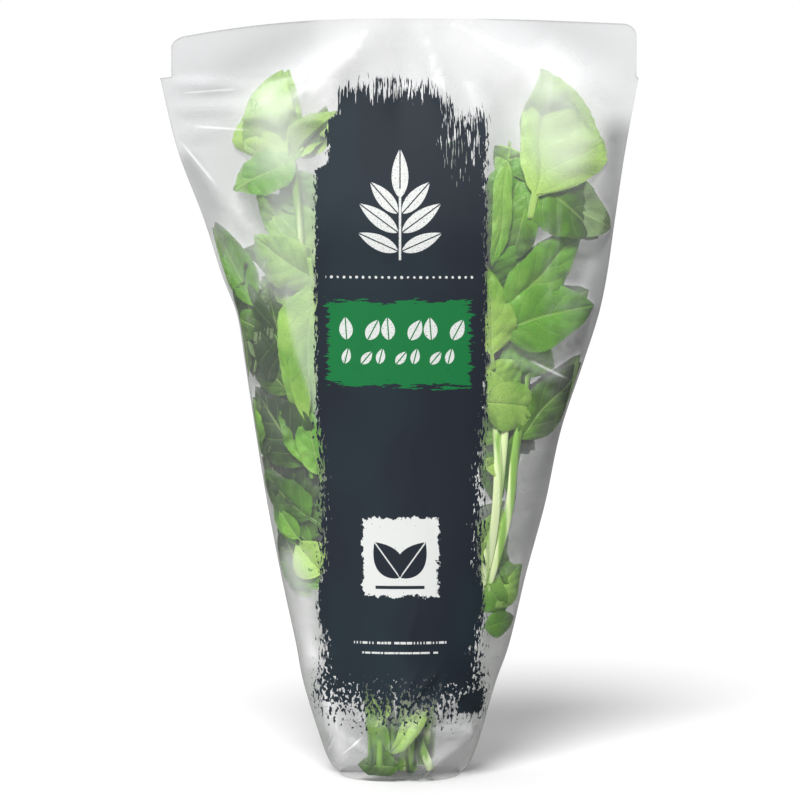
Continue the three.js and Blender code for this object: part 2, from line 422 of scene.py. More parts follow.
def film_faces(rows, count, origin):
    """Faces of the film's rows, its foot's middle and its header's top edge, all facing out."""
    faces = []
    for row in range(rows - 1):
        low, high = row * count, (row + 1) * count
        for i in range(count):
            after = (i + 1) % count
            faces.append((low + i, low + after, high + after, high + i))
    faces += [(origin, (i + 1) % count, i) for i in range(count)]
    top, half = (rows - 1) * count, count // 2
    for i in range(half):
        a, b, c, d = top + i, top + i + 1, top + count - i - 1, top + (count - i) % count
        if i == 0:
            faces.append((a, b, c))
        elif i == half - 1:
            faces.append((a, b, d))
        else:
            faces.append((a, b, c, d))
    return faces


# ---------------------------------------------------------------- leaves

SHOWN_STEPS, INNER_STEPS = (40, 16), (18, 10)  # divisions along and across a leaf
STALK = 0.16  # the stalk's share of a leaf's length
LEAF_WIDTH = 0.56  # a blade's width as a share of its length
TEETH = 13  # shallow teeth up each edge of a leaf


def leaf_form(length_steps, width_steps, arch, fold, curl, quilt, wave, veins, seed,
              taper=0.92, lopsided=0.0):
    """Points, faces and places of a leaf of length 1 that grows from the origin along +Y.

    Its upper face is towards +Z. A place is the share across from -1 to 1, the share along the
    blade, and 1 on the upper face or -1 on the lower one.
    """
    rng = np.random.default_rng(seed)
    phase = rng.uniform(0, 2 * math.pi, 3)
    along = np.linspace(0, 1, length_steps + 1)
    t = np.linspace(-1, 1, width_steps + 1)
    s, t = np.meshgrid(along, t, indexing="ij")
    blade = np.clip((s - STALK) / (1 - STALK), 0, 1)
    widest = LEAF_SWELL / (LEAF_SWELL + taper)
    half = (blade / widest) ** LEAF_SWELL * ((1 - blade) / (1 - widest)) ** taper
    half = LEAF_WIDTH / 2 * (1 - STALK) * half * (1 + lopsided * np.sign(t))
    half = half * (1 + 0.035 * np.abs(np.sin(np.pi * TEETH * blade)) * (blade > 0.15))
    half = np.where(s < 0.999, np.maximum(half, 0.013), 0.0)
    uneven = 1 + 0.1 * np.sin(5 * blade + phase[0]) * np.sign(t)
    x = t * half * uneven + 0.05 * np.sin(2.4 * s + phase[2]) * s
    side = np.abs(t)
    lift = fold * side * half * 2 - curl * side**3 * half * 2
    rank = (blade - 0.3 * side**1.2) * veins + 0.3
    bulge = np.abs(np.sin(np.pi * rank)) ** 0.7
    puff = np.minimum(side * 6, 1) * (1 - side**3) * np.sin(np.pi * blade) ** 0.4
    lift = lift + quilt * bulge * puff
    lift = lift + wave * side**2 * np.sin(2 * math.pi * (2.6 * blade + 0.12 * t) + phase[1])
    lift = lift + 0.4 * wave * side * np.sin(2 * math.pi * (5.7 * blade - 0.3 * t) + phase[2])
    z = lift - arch * s**2 + 0.02 * np.sin(6 * s + phase[2])
    y = s * (1 - 0.35 * arch * s)
    surface = np.stack([x, y, z], axis=-1)
    across, upward = np.gradient(surface, axis=1), np.gradient(surface, axis=0)
    normals = np.cross(across, upward)
    normals /= np.maximum(np.linalg.norm(normals, axis=-1, keepdims=True), 1e-9)
    thick = np.where(s < STALK, 0.014, 0.0032 + 0.006 * np.exp(-(side / 0.06) ** 2) * (1 - blade))
    shift = normals * (thick * (1 - side**6))[..., None]
    shift[-1] = 0
    rows, cols = length_steps, width_steps + 1
    upper = (surface + shift)[:-1].reshape(-1, 3)
    lower = (surface - shift)[:-1, 1:-1].reshape(-1, 3)
    points = np.vstack([upper, lower, surface[-1, :1]])
    ones = np.ones_like(s)
    upper_place = np.stack([t, blade, ones * (side < 0.999)], axis=-1)[:-1].reshape(-1, 3)
    lower_place = np.stack([t, blade, -ones], axis=-1)[:-1, 1:-1].reshape(-1, 3)
    places = np.vstack([upper_place, lower_place, [[0, 1, 0]]])
    tip = len(points) - 1

    def top(i, j):
        return i * cols + j

    def under(i, j):
        inner = 0 < j < cols - 1
        return rows * cols + i * (cols - 2) + j - 1 if inner else top(i, j)

    faces = []
    for i in range(rows - 1):
        for j in range(cols - 1):
            faces.append((top(i, j), top(i, j + 1), top(i + 1, j + 1), top(i + 1, j)))
            faces.append((under(i, j), under(i + 1, j), under(i + 1, j + 1), under(i, j + 1)))
    for j in range(cols - 1):
        faces.append((top(rows - 1, j), top(rows - 1, j + 1), tip))
        faces.append((under(rows - 1, j), tip, under(rows - 1, j + 1)))
        foot = [top(0, j), under(0, j), under(0, j + 1), top(0, j + 1)]
        faces.append(tuple(dict.fromkeys(foot)))
    return points, faces, places


LEAF_SWELL = 0.6  # how soon a blade widens from its stalk
# Kinds of leaf: arch, fold along the midrib, curl of the edges, quilting, wave, side veins, how
# sharply the tip tapers, and how much wider one half is than the other.
LEAF_KINDS = {
    "broad": dict(arch=0.08, fold=0.14, curl=0.08, quilt=0.026, wave=0.030, veins=5.0, seed=3),
    "cupped": dict(arch=0.20, fold=0.34, curl=0.10, quilt=0.028, wave=0.036, veins=5.5, seed=8),
    "young": dict(arch=0.16, fold=0.42, curl=0.05, quilt=0.016, wave=0.022, veins=4.5, seed=14),
    "left_heavy": dict(arch=0.06, fold=0.10, curl=0.05, quilt=0.024, wave=0.024, veins=4.5,
                       seed=21, taper=1.2, lopsided=-0.55),
    "right_heavy": dict(arch=0.06, fold=0.10, curl=0.05, quilt=0.024, wave=0.024, veins=4.5,
                        seed=22, taper=1.1, lopsided=0.55),
}

# The leaves that show at the sides of the panel: foot x, z, tip x, z, width, depth behind the
# front film, roll in degrees, tint from 0, dark, to 1, pale, and kind. The left sprig is given
# from its top down, then the right one, and then the leaves at the foot.
# A tint is partly the leaf's own colour and partly painted light and shade for how the leaf lies to the
# light.
SHOWN_LEAVES = [
    (-50, 284, -53.5, 327, 28, 8, -8, 0.95, "left_heavy"),
    (-49, 286, -75, 272, 19, 7, 20, 0.5, "broad"),
    (-48, 288, -32, 309, 14, 12, 24, 0.95, "young"),
    (-48, 287, -36, 297, 9, 9, -30, 0.85, "young"),
    (-50, 287, -45, 301, 7, 8, 12, 0.7, "young"),
    (-49, 280, -40, 257, 16, 14, -20, 0.45, "cupped"),
    (-39, 243, -64, 269, 20, 12, 16, 0.62, "broad"),
    (-38, 231, -69, 247, 21, 9, -16, 0.68, "broad"),
    (-36, 218, -64, 227, 23, 14, 12, 0.8, "broad"),
    (-41, 229, -42, 167, 25, 2.5, -6, 0.7, "broad"),
    (-67, 219, -86, 256, 15, 3, 8, 0.3, "broad"),
    (-70, 229, -72, 183, 21, 3, 14, 0.0, "cupped"),
    (-77, 212, -60, 207, 13, 2.5, -12, 0.15, "broad"),
    (-73, 172, -66, 150, 12, 3, 10, 0.3, "broad"),
    (-59, 221, -52, 174, 20, 4, -14, 0.0, "broad"),
    (-42, 166, -60, 216, 8, 2.5, 34, 0.58, "young"),
    (-50, 179, -67, 196, 15, 5, 10, 0.02, "broad"),
    (-46, 175, -64, 180, 10, 7, -18, 0.2, "cupped"),
    (-43, 147, -69, 177, 26, 5, -10, 0.03, "broad"),
    (-43, 146, -51, 177, 14, 3.5, 14, 0.36, "cupped"),
    (-37, 142, -42, 170, 16, 2, 8, 0.6, "broad"),
    (-41, 128, -64, 150, 16, 7, 12, 0.0, "cupped"),
    (-41, 122, -65, 140, 17, 4, -12, 0.2, "broad"),
    (-42, 109, -58, 131, 17, 6, 16, 0.28, "broad"),
    (-47, 112, -56, 124, 8, 2.5, -10, 0.5, "young"),
    (-43, 94, -58, 114, 18, 5, -8, 0.05, "broad"),
    (-36, 97, -49, 110, 17, 2, 6, 1.0, "young"),
    (-37, 91, -57, 97, 10, 3, -20, 0.32, "broad"),
    (-41, 86, -52, 91, 6, 5, 10, 0.2, "young"),
    (61, 270, 65.5, 326, 35, 3, 8, 0.9, "right_heavy"),
    (60, 275, 95, 252, 27, 6, -14, 0.2, "broad"),
    (59, 286, 40, 239, 23, 8, 18, 0.36, "broad"),
    (49, 284, 44, 236, 9, 2.5, -6, 0.62, "broad"),
    (59, 272, 45, 291, 13, 10, 10, 0.85, "broad"),
    (61, 271, 49, 237, 17, 4.5, 24, 0.3, "broad"),
    (57, 247, 45, 218, 17, 8, -14, 0.32, "broad"),
    (49, 217, 81, 251, 21, 5, 10, 0.5, "broad"),
    (46, 208, 88, 221, 25, 3.5, -10, 0.46, "broad"),
    (43, 198, 39, 237, 18, 2, 6, 0.72, "broad"),
    (49, 201, 70, 186, 20, 6, 14, 0.5, "cupped"),
    (40, 191, 57, 179, 18, 3, -8, 0.75, "broad"),
    (38, 175, 66, 173, 20, 2, 8, 0.74, "broad"),
    (55, 158, 85, 192, 18, 4, -12, 0.12, "broad"),
    (52, 161, 67, 183, 14, 8, 12, 0.08, "broad"),
    (52, 160, 51, 124, 7, 4, 10, 0.25, "young"),
    (39, 145, 47, 148, 8, 3, 8, 0.8, "young"),
    (40, 155, 43, 171, 12, 6, -8, 0.6, "broad"),
    (38, 108, 47, 127, 11, 3.5, 10, 0.9, "young"),
    (37, 109, 45, 101, 9, 2.5, -12, 0.7, "young"),
    (43, 101, 37, 122, 8, 4.5, 14, 0.85, "young"),
    (40, 81, 55, 100, 16, 4, -8, 0.72, "broad"),
    (39, 91, 48, 77, 12, 2.5, 10, 0.6, "young"),
    (46, 100, 55, 88, 8, 6, -14, 0.5, "young"),
    (40, 71, 53, 74, 11, 2.5, 6, 0.42, "broad"),
    (-1.5, 8, -17.5, 7, 11, 1.6, 5, 0.2, "broad"),
    (-12, 40, -7, 10, 9, 1.6, 18, 0.62, "young"),
    (11, 36, -5, 12, 8, 1.6, -20, 0.85, "young"),
    (-4, 40, -17, 25, 9, 1.8, 10, 0.9, "young"),
    # darker leaves deeper in, left and right, their dark tint partly their own colour and partly
    # painted shade
    (-40, 98, -55, 126, 18, 10, 10, 0.12, "broad"),
    (-40, 124, -61, 157, 20, 12, -12, 0.16, "cupped"),
    (-40, 148, -63, 186, 21, 12, 8, 0.1, "broad"),
    (-40, 172, -60, 206, 20, 14, -8, 0.16, "broad"),
    (-43, 134, -46, 168, 18, 10, 14, 0.22, "broad"),
    (-45, 110, -40, 141, 17, 8, -12, 0.2, "broad"),
    (-50, 160, -45, 190, 18, 11, 10, 0.14, "cupped"),
    (-67, 194, -60, 226, 17, 12, -10, 0.12, "broad"),
    (-38, 200, -47, 232, 20, 18, 12, 0.4, "broad"),
    (47, 264, 39, 230, 21, 11, -10, 0.18, "broad"),
    (50, 242, 60, 214, 21, 12, 12, 0.2, "cupped"),
    (44, 224, 58, 246, 20, 13, -8, 0.24, "broad"),
    (42, 206, 62, 190, 21, 11, 14, 0.22, "broad"),
    (42, 178, 57, 202, 19, 10, -12, 0.18, "broad"),
    (44, 168, 61, 150, 16, 9, 8, 0.12, "broad"),
    (40, 152, 45, 128, 12, 8, -10, 0.25, "broad"),
    (40, 116, 47, 92, 13, 7, 10, 0.4, "broad"),
]
SHOWN_WIDER, SHOWN_LONGER = 1.14, 1.05  # allow for the narrow tips of the leaves
LEAF_RELIEF = 0.8  # how much of a pressed leaf's own form is left

# Stems as points x, y, z from the foot up.
STEMS = [
    # of the left sprigs
    [(-13, -26, 6), (-13.5, -30, 28), (-20, -25, 70), (-34, -12, 140), (-42, -6, 215), (-49, -4, 284)],
    [(-9, -28, 6), (-10, -31, 28), (-22, -24, 75), (-42, -10, 140), (-56, -4, 190), (-66, -2, 218)],
    [(-4, 14, 5), (-8, 18, 40), (-20, 20, 80), (-34, 12, 160), (-42, 8, 232), (-48, 4, 280)],
    [(-8, 8, 5), (-14, 12, 40), (-28, 18, 80), (-46, 12, 140), (-62, 6, 200)],
    # of the right sprigs
    [(14, -26, 6), (9, -31, 22), (13, -32, 38), (27, -29, 70), (41, -26, 108), (47, -19, 150),
     (51, -8, 205), (57, -4, 245), (61, -3, 272)],
    [(6, -27, 6), (6, -31, 24), (18, -30, 50), (36, -25, 80), (49, -22, 120), (53, -17, 152),
     (59, -7, 190), (64, -5, 212)],
    [(7, 12, 5), (12, 16, 40), (28, 20, 74), (44, 16, 120), (50, 10, 170), (56, 7, 230), (61, 4, 268)],
    [(13, -20, 12), (14, -29, 34), (33, -27, 78), (42, -27, 110), (45, -22, 145), (43, -10, 178)],
    # behind the panel
    [(1, -28, 6), (0, -32, 28), (3, -20, 80), (-8, -10, 150), (-14, -6, 220), (-16, -3, 274)],
    [(3.5, -25, 6), (3, -30, 40), (6, -20, 90), (4, -10, 150), (4, -6, 220)],
    [(10, -22, 8), (9.5, -28, 30), (16, -22, 90), (20, -10, 150), (18, -6, 200)],
    [(0, 2, 5), (2, 4, 80), (8, 4, 160), (10, 3, 230), (8, 1, 290)],
    [(5, 12, 5), (10, 15, 60), (20, 18, 130), (24, 12, 220), (25, 6, 268)],
    [(-4, -26, 6), (-4, -31, 30), (-14, -24, 100), (-24, -20, 160), (-27, -14, 214)],
    [(14, 10, 5), (18, 14, 60), (30, 14, 130), (34, 10, 190)],
    [(5, -23, 4), (5, -27, 36), (14, -24, 110), (20, -18, 180), (22, -10, 246)],
    [(-6, 8, 5), (-10, 14, 90), (-12, 16, 170), (-8, 10, 250)],
    [(-12, 2, 5), (-18, 4, 90), (-26, 4, 170), (-26, 2, 240)],
]
STEM_SIDES = 12
STEM_END = 0.55  # a stem's thickness under its tip, as a share of that at the foot
STEM_TIP = [0.52, 0.48, 0.42, 0.34, 0.24, 0.1]
BARE_BELOW = 100.0  # no leaves grow on the stems below this height
HIDDEN_HALF_WIDTH = 37.0  # the panel hides what lies this near the middle
# From each stem's tip down: leaf length, angle to the stem, and way to the next pair.
PAIR_SIZES = 20, 30, 40, 47, 50, 46
PAIR_SPREADS = 22, 38, 52, 60, 64, 68
PAIR_STEPS = 9, 15, 22, 27, 30, 30


def spline(points, steps):
    """A smooth curve through the points, by Catmull-Rom."""
    p = np.array(points, float)
    p = np.vstack([2 * p[0] - p[1], p, 2 * p[-1] - p[-2]])
    pieces = []
    for a, b, c, d in zip(p, p[1:], p[2:], p[3:]):
        t = np.linspace(0, 1, steps, endpoint=False)[:, None]
        pieces.append(0.5 * (2 * b + (c - a) * t + (2 * a - 5 * b + 4 * c - d) * t**2
                             + (3 * b - a - 3 * c + d) * t**3))
    return np.vstack(pieces + [p[-2:-1]])


def unit(v):
    return v / max(np.linalg.norm(v), 1e-9)


def guide(foot, aim, face, length, width, tint, kind, depth=0.0):
    """Where and how one leaf grows, in millimetres. A depth is from the front film, or from the
    back film where it is negative, and 0 leaves the leaf where it is."""
    stretch = width / (LEAF_WIDTH * (1 - STALK) * length)
    return dict(at=np.array(foot, float), aim=unit(aim), face=unit(face), depth=depth,
                scale=np.array([stretch, 1, min(1.0, stretch)]) * length, tint=tint, kind=kind)


def shown_guides(rng):
    """The leaves that the photograph shows, each above the bare stems with a twin at the back of the
    pouch.
    """
    guides = []
    mirrored = {"left_heavy": "right_heavy", "right_heavy": "left_heavy"}
    for foot_x, foot_z, tip_x, tip_z, width, depth, roll, tint, kind in SHOWN_LEAVES:
        for outward in (-1, 1):
            shake = rng.normal(0, 1, 3) if outward > 0 else np.zeros(3)
            if outward > 0 and foot_z < BARE_BELOW:
                continue
            foot = np.array([foot_x + shake[0], 0, foot_z + shake[1]])
            aim = np.array([tip_x, 0, tip_z]) - foot
            length = SHOWN_LONGER * np.linalg.norm(aim) / (1 - STALK)
            out = np.array([0, outward, 0])
            turn = math.radians(roll + 12 * shake[2])
            face = out * math.cos(turn) + np.cross(unit(aim), out) * math.sin(turn)
            guides.append(guide(
                foot - STALK * length * unit(aim), aim, face, length,
                SHOWN_WIDER * width * (1 if outward < 0 else 0.9), np.clip(tint + 0.1 * shake[2], 0, 1),
                kind if outward < 0 else mirrored.get(kind, kind),
                depth if outward < 0 else -depth - 1.0))
    return guides


def sprig_guides(rng):
    """Pairs of leaves up each stem, every pair at a quarter turn to the one below."""
    guides = []
    for points in STEMS:
        curve = spline(points, 24)
        lengths = np.concatenate([[0], np.cumsum(np.linalg.norm(np.diff(curve, axis=0), axis=1))])
        place, level = lengths[-1], 0
        turn = rng.uniform(0, math.pi)
        while place > 0:
            at = np.array([np.interp(place, lengths, curve[:, i]) for i in range(3)])
            if at[2] < BARE_BELOW:
                break
            ahead = np.array([np.interp(place + 4, lengths, curve[:, i]) for i in range(3)])
            behind = np.array([np.interp(place - 4, lengths, curve[:, i]) for i in range(3)])
            tangent = unit(ahead - behind)
            rank = min(level, len(PAIR_SIZES) - 1)
            size = PAIR_SIZES[rank] * rng.uniform(0.85, 1.12)
            spread = math.radians(PAIR_SPREADS[rank] + rng.normal(0, 7))
            for half in (0, math.pi):
                angle = turn + half + rng.normal(0, 0.2)
                radial = np.array([math.cos(angle), 0.4 * math.sin(angle), 0])
                radial = unit(radial - tangent * np.dot(radial, tangent))
                aim = tangent * math.cos(spread) + radial * math.sin(spread)
                face = tangent * math.sin(spread) - radial * math.cos(spread)
                face = face + np.array([0, -0.9 if at[1] < 0 else 0.9, 0])
                if max(abs(at[0]), abs(at[0] + aim[0] * size)) > HIDDEN_HALF_WIDTH - size * 0.15:
                    continue
                guides.append(guide(at, aim, face, size, size * rng.uniform(0.5, 0.62),
                                    np.clip(0.75 - 0.16 * level + rng.normal(0, 0.12), 0, 1),
                                    "young" if level < 2 else rng.choice(["broad", "cupped"])))
            turn += math.pi / 2 + rng.normal(0, 0.15)
            place -= PAIR_STEPS[rank] * rng.uniform(0.85, 1.15)
            level += 1
    return guides


# ---------------------------------------------------------------- node trees

class Wires:
    """Adds, sets and links the nodes of one node tree."""

    def __init__(self, tree):
        self.tree = tree

    def node(self, kind, inputs=None, **settings):
        made = self.tree.nodes.new(kind)
        for key, value in settings.items():
            setattr(made, key, value)
        self.fill(made, inputs or {})
        return made

    def fill(self, made, inputs):
        for key, value in inputs.items():
            self.feed(made.inputs[key], value)

    def feed(self, socket, value):
        """Links another node's socket to this one, or sets it to a constant."""
        if isinstance(value, bpy.types.NodeSocket):
            self.tree.links.new(value, socket)
        elif socket.type == "RGBA":
            socket.default_value = (*value[:3], 1.0)
        else:
            socket.default_value = value

    def attribute(self, name, output="Fac"):
        return self.node("ShaderNodeAttribute", attribute_name=name).outputs[output]

    def own_place(self):
        return self.node("ShaderNodeTexCoord").outputs["Object"]

    def bump(self, strength, distance, height):
        inputs = {"Strength": strength, "Distance": distance, "Height": height}
        return self.node("ShaderNodeBump", inputs).outputs[0]

    def math(self, operation, a, b=0.0, c=0.0, clamp=False):
        made = self.node("ShaderNodeMath", operation=operation, use_clamp=clamp)
        for socket, value in zip(made.inputs, (a, b, c)):
            self.feed(socket, value)
        return made.outputs[0]

    times = partialmethod(math, "MULTIPLY")
    scaled = partialmethod(math, "MULTIPLY_ADD")
    over = partialmethod(math, "DIVIDE")
    plus = partialmethod(math, "ADD")
    minus = partialmethod(math, "SUBTRACT")
    higher = partialmethod(math, "MAXIMUM")
    lower = partialmethod(math, "MINIMUM")
    power = partialmethod(math, "POWER")
    size = partialmethod(math, "ABSOLUTE")

    def total(self, first, *others):
        for other in others:
            first = self.plus(first, other)
        return first

    def rise(self, value, low, high, to_low=0.0, to_high=1.0):
        """A value taken smoothly from one range to another."""
        inputs = {"Value": value, "From Min": low, "From Max": high,
                  "To Min": to_low, "To Max": to_high}
        made = self.node("ShaderNodeMapRange", inputs, interpolation_type="SMOOTHSTEP")
        return made.outputs[0]

    def stretched(self, vector, scale, shift=(0, 0, 0)):
        inputs = {"Vector": vector, "Scale": scale, "Location": shift}
        return self.node("ShaderNodeMapping", inputs).outputs[0]

    def noise(self, vector, scale=1.0, detail=2.0, roughness=0.5):
        made = self.node(
            "ShaderNodeTexNoise",
            {"Vector": vector, "Scale": scale, "Detail": detail, "Roughness": roughness},
        )
        return made.outputs["Fac"]

    def flat_noise(self, place, across, along, detail=2.0, roughness=0.6, shift=0.0):
        """Noise over the plane of a place's first two coordinates, with a scale for each."""
        made = self.node(
            "ShaderNodeTexNoise",
            {"Vector": self.stretched(place, (across, along, 1), shift=(shift, shift, 0)),
             "Scale": 1.0, "Detail": detail, "Roughness": roughness},
            noise_dimensions="2D",
        )
        return made.outputs["Fac"]

    def mix(self, share, a, b):
        made = self.node("ShaderNodeMix", data_type="RGBA")
        for key, value in ((0, share), (6, a), (7, b)):
            self.feed(made.inputs[key], value)
        return made.outputs[2]

    def parts(self, vector):
        return self.node("ShaderNodeSeparateXYZ", {"Vector": vector}).outputs

    def joined(self, x, y, z):
        return self.node("ShaderNodeCombineXYZ", {"X": x, "Y": y, "Z": z}).outputs[0]


def new_group(name, inputs, outputs):
    """An empty shader node group, its wires, its input sockets and its output node."""
    group = bpy.data.node_groups.new(name, "ShaderNodeTree")
    for in_out, sockets in (("INPUT", inputs), ("OUTPUT", outputs)):
        for key, kind in sockets.items():
            group.interface.new_socket(key, in_out=in_out, socket_type="NodeSocket" + kind)
    wires = Wires(group)
    return group, wires, wires.node("NodeGroupInput").outputs, wires.node("NodeGroupOutput").inputs


def use_group(wires, group, **values):
    made = wires.node("ShaderNodeGroup", node_tree=group)
    for key, value in values.items():
        wires.feed(made.inputs[key.replace("_", " ")], value)
    return made.outputs


def new_material(name):
    """A material with only its output and one Principled shader, linked."""
    material = bpy.data.materials.new(name)
    material.use_nodes = True
    material.node_tree.nodes.clear()
    wires = Wires(material.node_tree)
    shader = wires.node("ShaderNodeBsdfPrincipled")
    output = wires.node("ShaderNodeOutputMaterial")
    material.node_tree.links.new(shader.outputs[0], output.inputs["Surface"])
    return material, wires, shader, output


def srgb(red, green, blue):
    """A colour given by its 8-bit screen values."""
    def linear(value):
        value /= 255
        return value / 12.92 if value <= 0.04045 else ((value + 0.055) / 1.055) ** 2.4
    return linear(red), linear(green), linear(blue)


# ---------------------------------------------------------------- print

# The panel's edges, seen from the front.
PANEL_LEFT, PANEL_RIGHT = -40.0, 41.0
PANEL_TOP, PANEL_BOTTOM = 319.0, 29.0
GREEN = (-34.0, 33.0, 183.0, 223.0)
PALE = (-17.5, 18.0, 87.0, 123.5)
DOT_PITCH, DOT_HEIGHT = 2.93, 233.0
RULES = ((66.0, 21.5, 0.55), (61.4, 17.5, 0.45))
# Stamped leaves: foot x, z, angle from straight up, length and width.
SPRIG_STAMPS = [(0, 269, 0, 22, 11), (1, 262, 42, 19, 10), (-1, 262, -42, 19, 10),
                (1, 253.5, 54, 22, 10.5), (-1, 253.5, -54, 22, 10.5),
                (1, 245, 66, 20, 10), (-1, 245, -66, 20, 10)]
GREEN_STAMPS = (
    [(-24.5 + 9.7 * i, 204.5, 28 if i % 2 else -4, 10.5, 9) for i in range(6)]
    + [(-25.5 + 7.9 * i, 193.5, 40 if i % 2 else 14, 7.5, 6) for i in range(7)]
)
PALE_STAMPS = [(0, 96, 36, 20, 18), (0, 96, -36, 20, 18)]


def leaf_stamp_group():
    """A flat leaf shape with a fine midrib left out, as one mask."""
    group, w, inputs, outputs = new_group(
        "Leaf stamp",
        {"Place": "Vector", "Foot X": "Float", "Foot Z": "Float", "Angle": "Float",
         "Length": "Float", "Width": "Float"},
        {"Mask": "Float"},
    )
    x, _, z = w.parts(inputs["Place"])
    dx = w.minus(x, inputs["Foot X"])
    dz = w.minus(z, inputs["Foot Z"])
    sine, cosine = w.math("SINE", inputs["Angle"]), w.math("COSINE", inputs["Angle"])
    along = w.plus(w.times(dx, sine), w.times(dz, cosine))
    across = w.minus(w.times(dx, cosine), w.times(dz, sine))
    share = w.over(along, inputs["Length"], clamp=True)
    belly = w.times(w.power(share, 0.75), w.minus(1.0, share))
    half = w.times(w.times(belly, inputs["Width"]), 1.15)
    offset = w.size(across)
    blade = w.rise(w.minus(half, offset), -0.12, 0.12)
    rib = w.rise(offset, 0.18, 0.4)
    w.feed(outputs["Mask"], w.times(blade, rib))
    return group


def print_group(colours):
    """The print of the front film: a dark brushed panel that carries plain patches and leaves."""
    group, w, inputs, outputs = new_group("Pouch print", {"Place": "Vector"},
                                          {"Colour": "Color", "Ink": "Float"})
    place = inputs["Place"]
    x, side, z = w.parts(place)
    front = w.math("LESS_THAN", side, -0.5)
    flat = w.joined(x, z, 0.0)

    def fleck(across, along, shift=0.0):
        """Grain of a dry brush, from about -1 to 1, with a scale for each way."""
        grain = w.flat_noise(flat, across, along, 2.5, 0.6, shift)
        return w.scaled(grain, 2.6, -1.3)

    def block(left, right, low, high, ragged):
        """How far inside a slanting rectangle a point is, less a ragged edge, in millimetres."""
        inside = w.lower(w.minus(x, left), w.minus(right, x))
        up = w.lower(w.minus(z, low), w.minus(high, z))
        return w.plus(w.lower(inside, up), ragged)

    wander = w.flat_noise(flat, 0.0, 0.045, 3, 0.6)
    wander = w.scaled(wander, 4.0, -2.0)
    # The film turns away near the foot, where the panel wraps further round it.
    round_foot = w.power(w.higher(w.minus(93.0, z), 0.0), 2.0)
    round_foot = w.scaled(round_foot, 0.0026, 0.6)
    steps = w.plus(w.rise(z, 281, 285, 0.0, 6.0), w.rise(z, 303, 307, 0.0, 4.5))
    left_edge = w.plus(w.plus(steps, PANEL_LEFT), w.minus(wander, round_foot))
    right_edge = w.total(PANEL_RIGHT, w.times(wander, -1.0), round_foot)
    worn = w.times(w.rise(z, 86, 104), w.rise(z, 185, 140))
    low_worn = w.rise(z, 84, 60)
    right_side = w.math("GREATER_THAN", x, 0.0)
    band = w.total(3.0, w.times(worn, 4.5), w.times(low_worn, 8.0),
                   w.times(right_side, 0.8))
    sides = w.lower(w.minus(x, left_edge), w.minus(right_edge, x))
    level = w.over(sides, band)
    # The top is a comb of dry brush strokes, lower at the right.
    streak = w.flat_noise(flat, 0.07, 0.0, 2, 0.6)
    comb = w.flat_noise(flat, 0.8, 0.014, 2, 0.6)
    top = w.scaled(streak, 11.0, w.rise(x, 14, 31, PANEL_TOP - 10, PANEL_TOP - 21))
    top = w.minus(w.scaled(comb, 16.0, top), z)
    top_level = w.over(top, 10.0)
    uneven = w.flat_noise(flat, 0.06, 0.0, 2, 0.6, 5.0)
    low = w.scaled(uneven, 6.0, w.rise(x, -26, -42, PANEL_BOTTOM - 4.5, PANEL_BOTTOM - 0.5))
    bottom_level = w.over(w.minus(z, low), 17.0)
    at_top = w.rise(z, PANEL_TOP - 26, PANEL_TOP - 16)
    at_bottom = w.rise(z, PANEL_BOTTOM + 34, PANEL_BOTTOM + 18)
    grain = w.times(fleck(0.95, 0.28), w.minus(1.0, w.total(at_top, at_bottom)))
    streaks = fleck(1.25, 0.11, 3.0)
    grain = w.scaled(streaks, at_top, grain)
    grain = w.scaled(fleck(0.62, 0.4, 9.0), w.times(at_bottom, 1.5), grain)
    level = w.lower(level, w.lower(top_level, bottom_level))
    panel = w.rise(w.plus(w.lower(level, 1.6), grain), 0.44, 0.56)
    panel = w.times(panel, w.math("GREATER_THAN", level, -0.25))
    # Dry strokes break up the top right, stray above the middle, and end in a solid dab below.
    dry = w.times(w.rise(x, 12, 24), w.times(w.rise(z, 262, 296), w.rise(x, 41, 35)))
    holes = w.rise(w.scaled(dry, 0.62, streaks), 0.78, 0.9)
    panel = w.times(panel, w.minus(1.0, w.times(holes, w.rise(dry, 0.0, 0.2))))
    above = w.rise(block(-15.0, 15.0, 314.0, 325.0, w.scaled(streak, 6.0, -4.0)), 0.0, 2.0)
    strays = w.times(above, w.rise(streaks, 0.02, 0.14))
    slanted = w.scaled(w.minus(x, 35.0), 0.1, w.scaled(grain, 1.6, -1.2))
    dab = w.rise(block(26.0, 43.5, PANEL_BOTTOM + 1.5, PANEL_BOTTOM + 14.5, slanted), -0.1, 0.1)
    panel = w.higher(w.higher(panel, strays), dab)

    cloudy = w.flat_noise(flat, 0.02, 0.012, 2, 0.5)
    colour = w.mix(w.rise(cloudy, 0.35, 0.65), colours["dark"], colours["dark_light"])

    # A green brushed patch and a smaller pale one, both with torn ends.
    torn = w.scaled(w.flat_noise(flat, 0.06, 0.42, 3, 0.7), 12.0, -6.8)
    green = w.rise(block(*GREEN, torn), -0.15, 0.15)
    speck = w.rise(fleck(0.8, 0.8, 21.0), 0.62, 0.72)
    green = w.times(green, w.minus(1.0, speck))
    colour = w.mix(green, colour, colours["green"])
    torn = w.scaled(w.flat_noise(flat, 0.22, 0.22, 4, 0.7), 7.0, -3.9)
    pale = w.rise(block(*PALE, torn), -0.15, 0.15)
    pale = w.times(pale, w.minus(1.0, speck))
    pale_rule = w.times(w.rise(w.size(w.minus(z, 91.5)), 0.9, 0.6),
                       w.rise(w.size(x), 11.5, 11.0))
    pale = w.times(pale, w.minus(1.0, pale_rule))
    colour = w.mix(pale, colour, colours["pale"])

    # Leaves stamped in pale ink: a sprig at the top and a row on the green patch.
    stamp = leaf_stamp_group()

    def stamps(rows):
        masks = [
            use_group(w, stamp, Place=place, Foot_X=float(fx), Foot_Z=float(fz),
                      Angle=math.radians(angle), Length=float(length), Width=float(wide))["Mask"]
            for fx, fz, angle, length, wide in rows
        ]
        first = masks[0]
        for mask in masks[1:]:
            first = w.higher(first, mask)
        return first

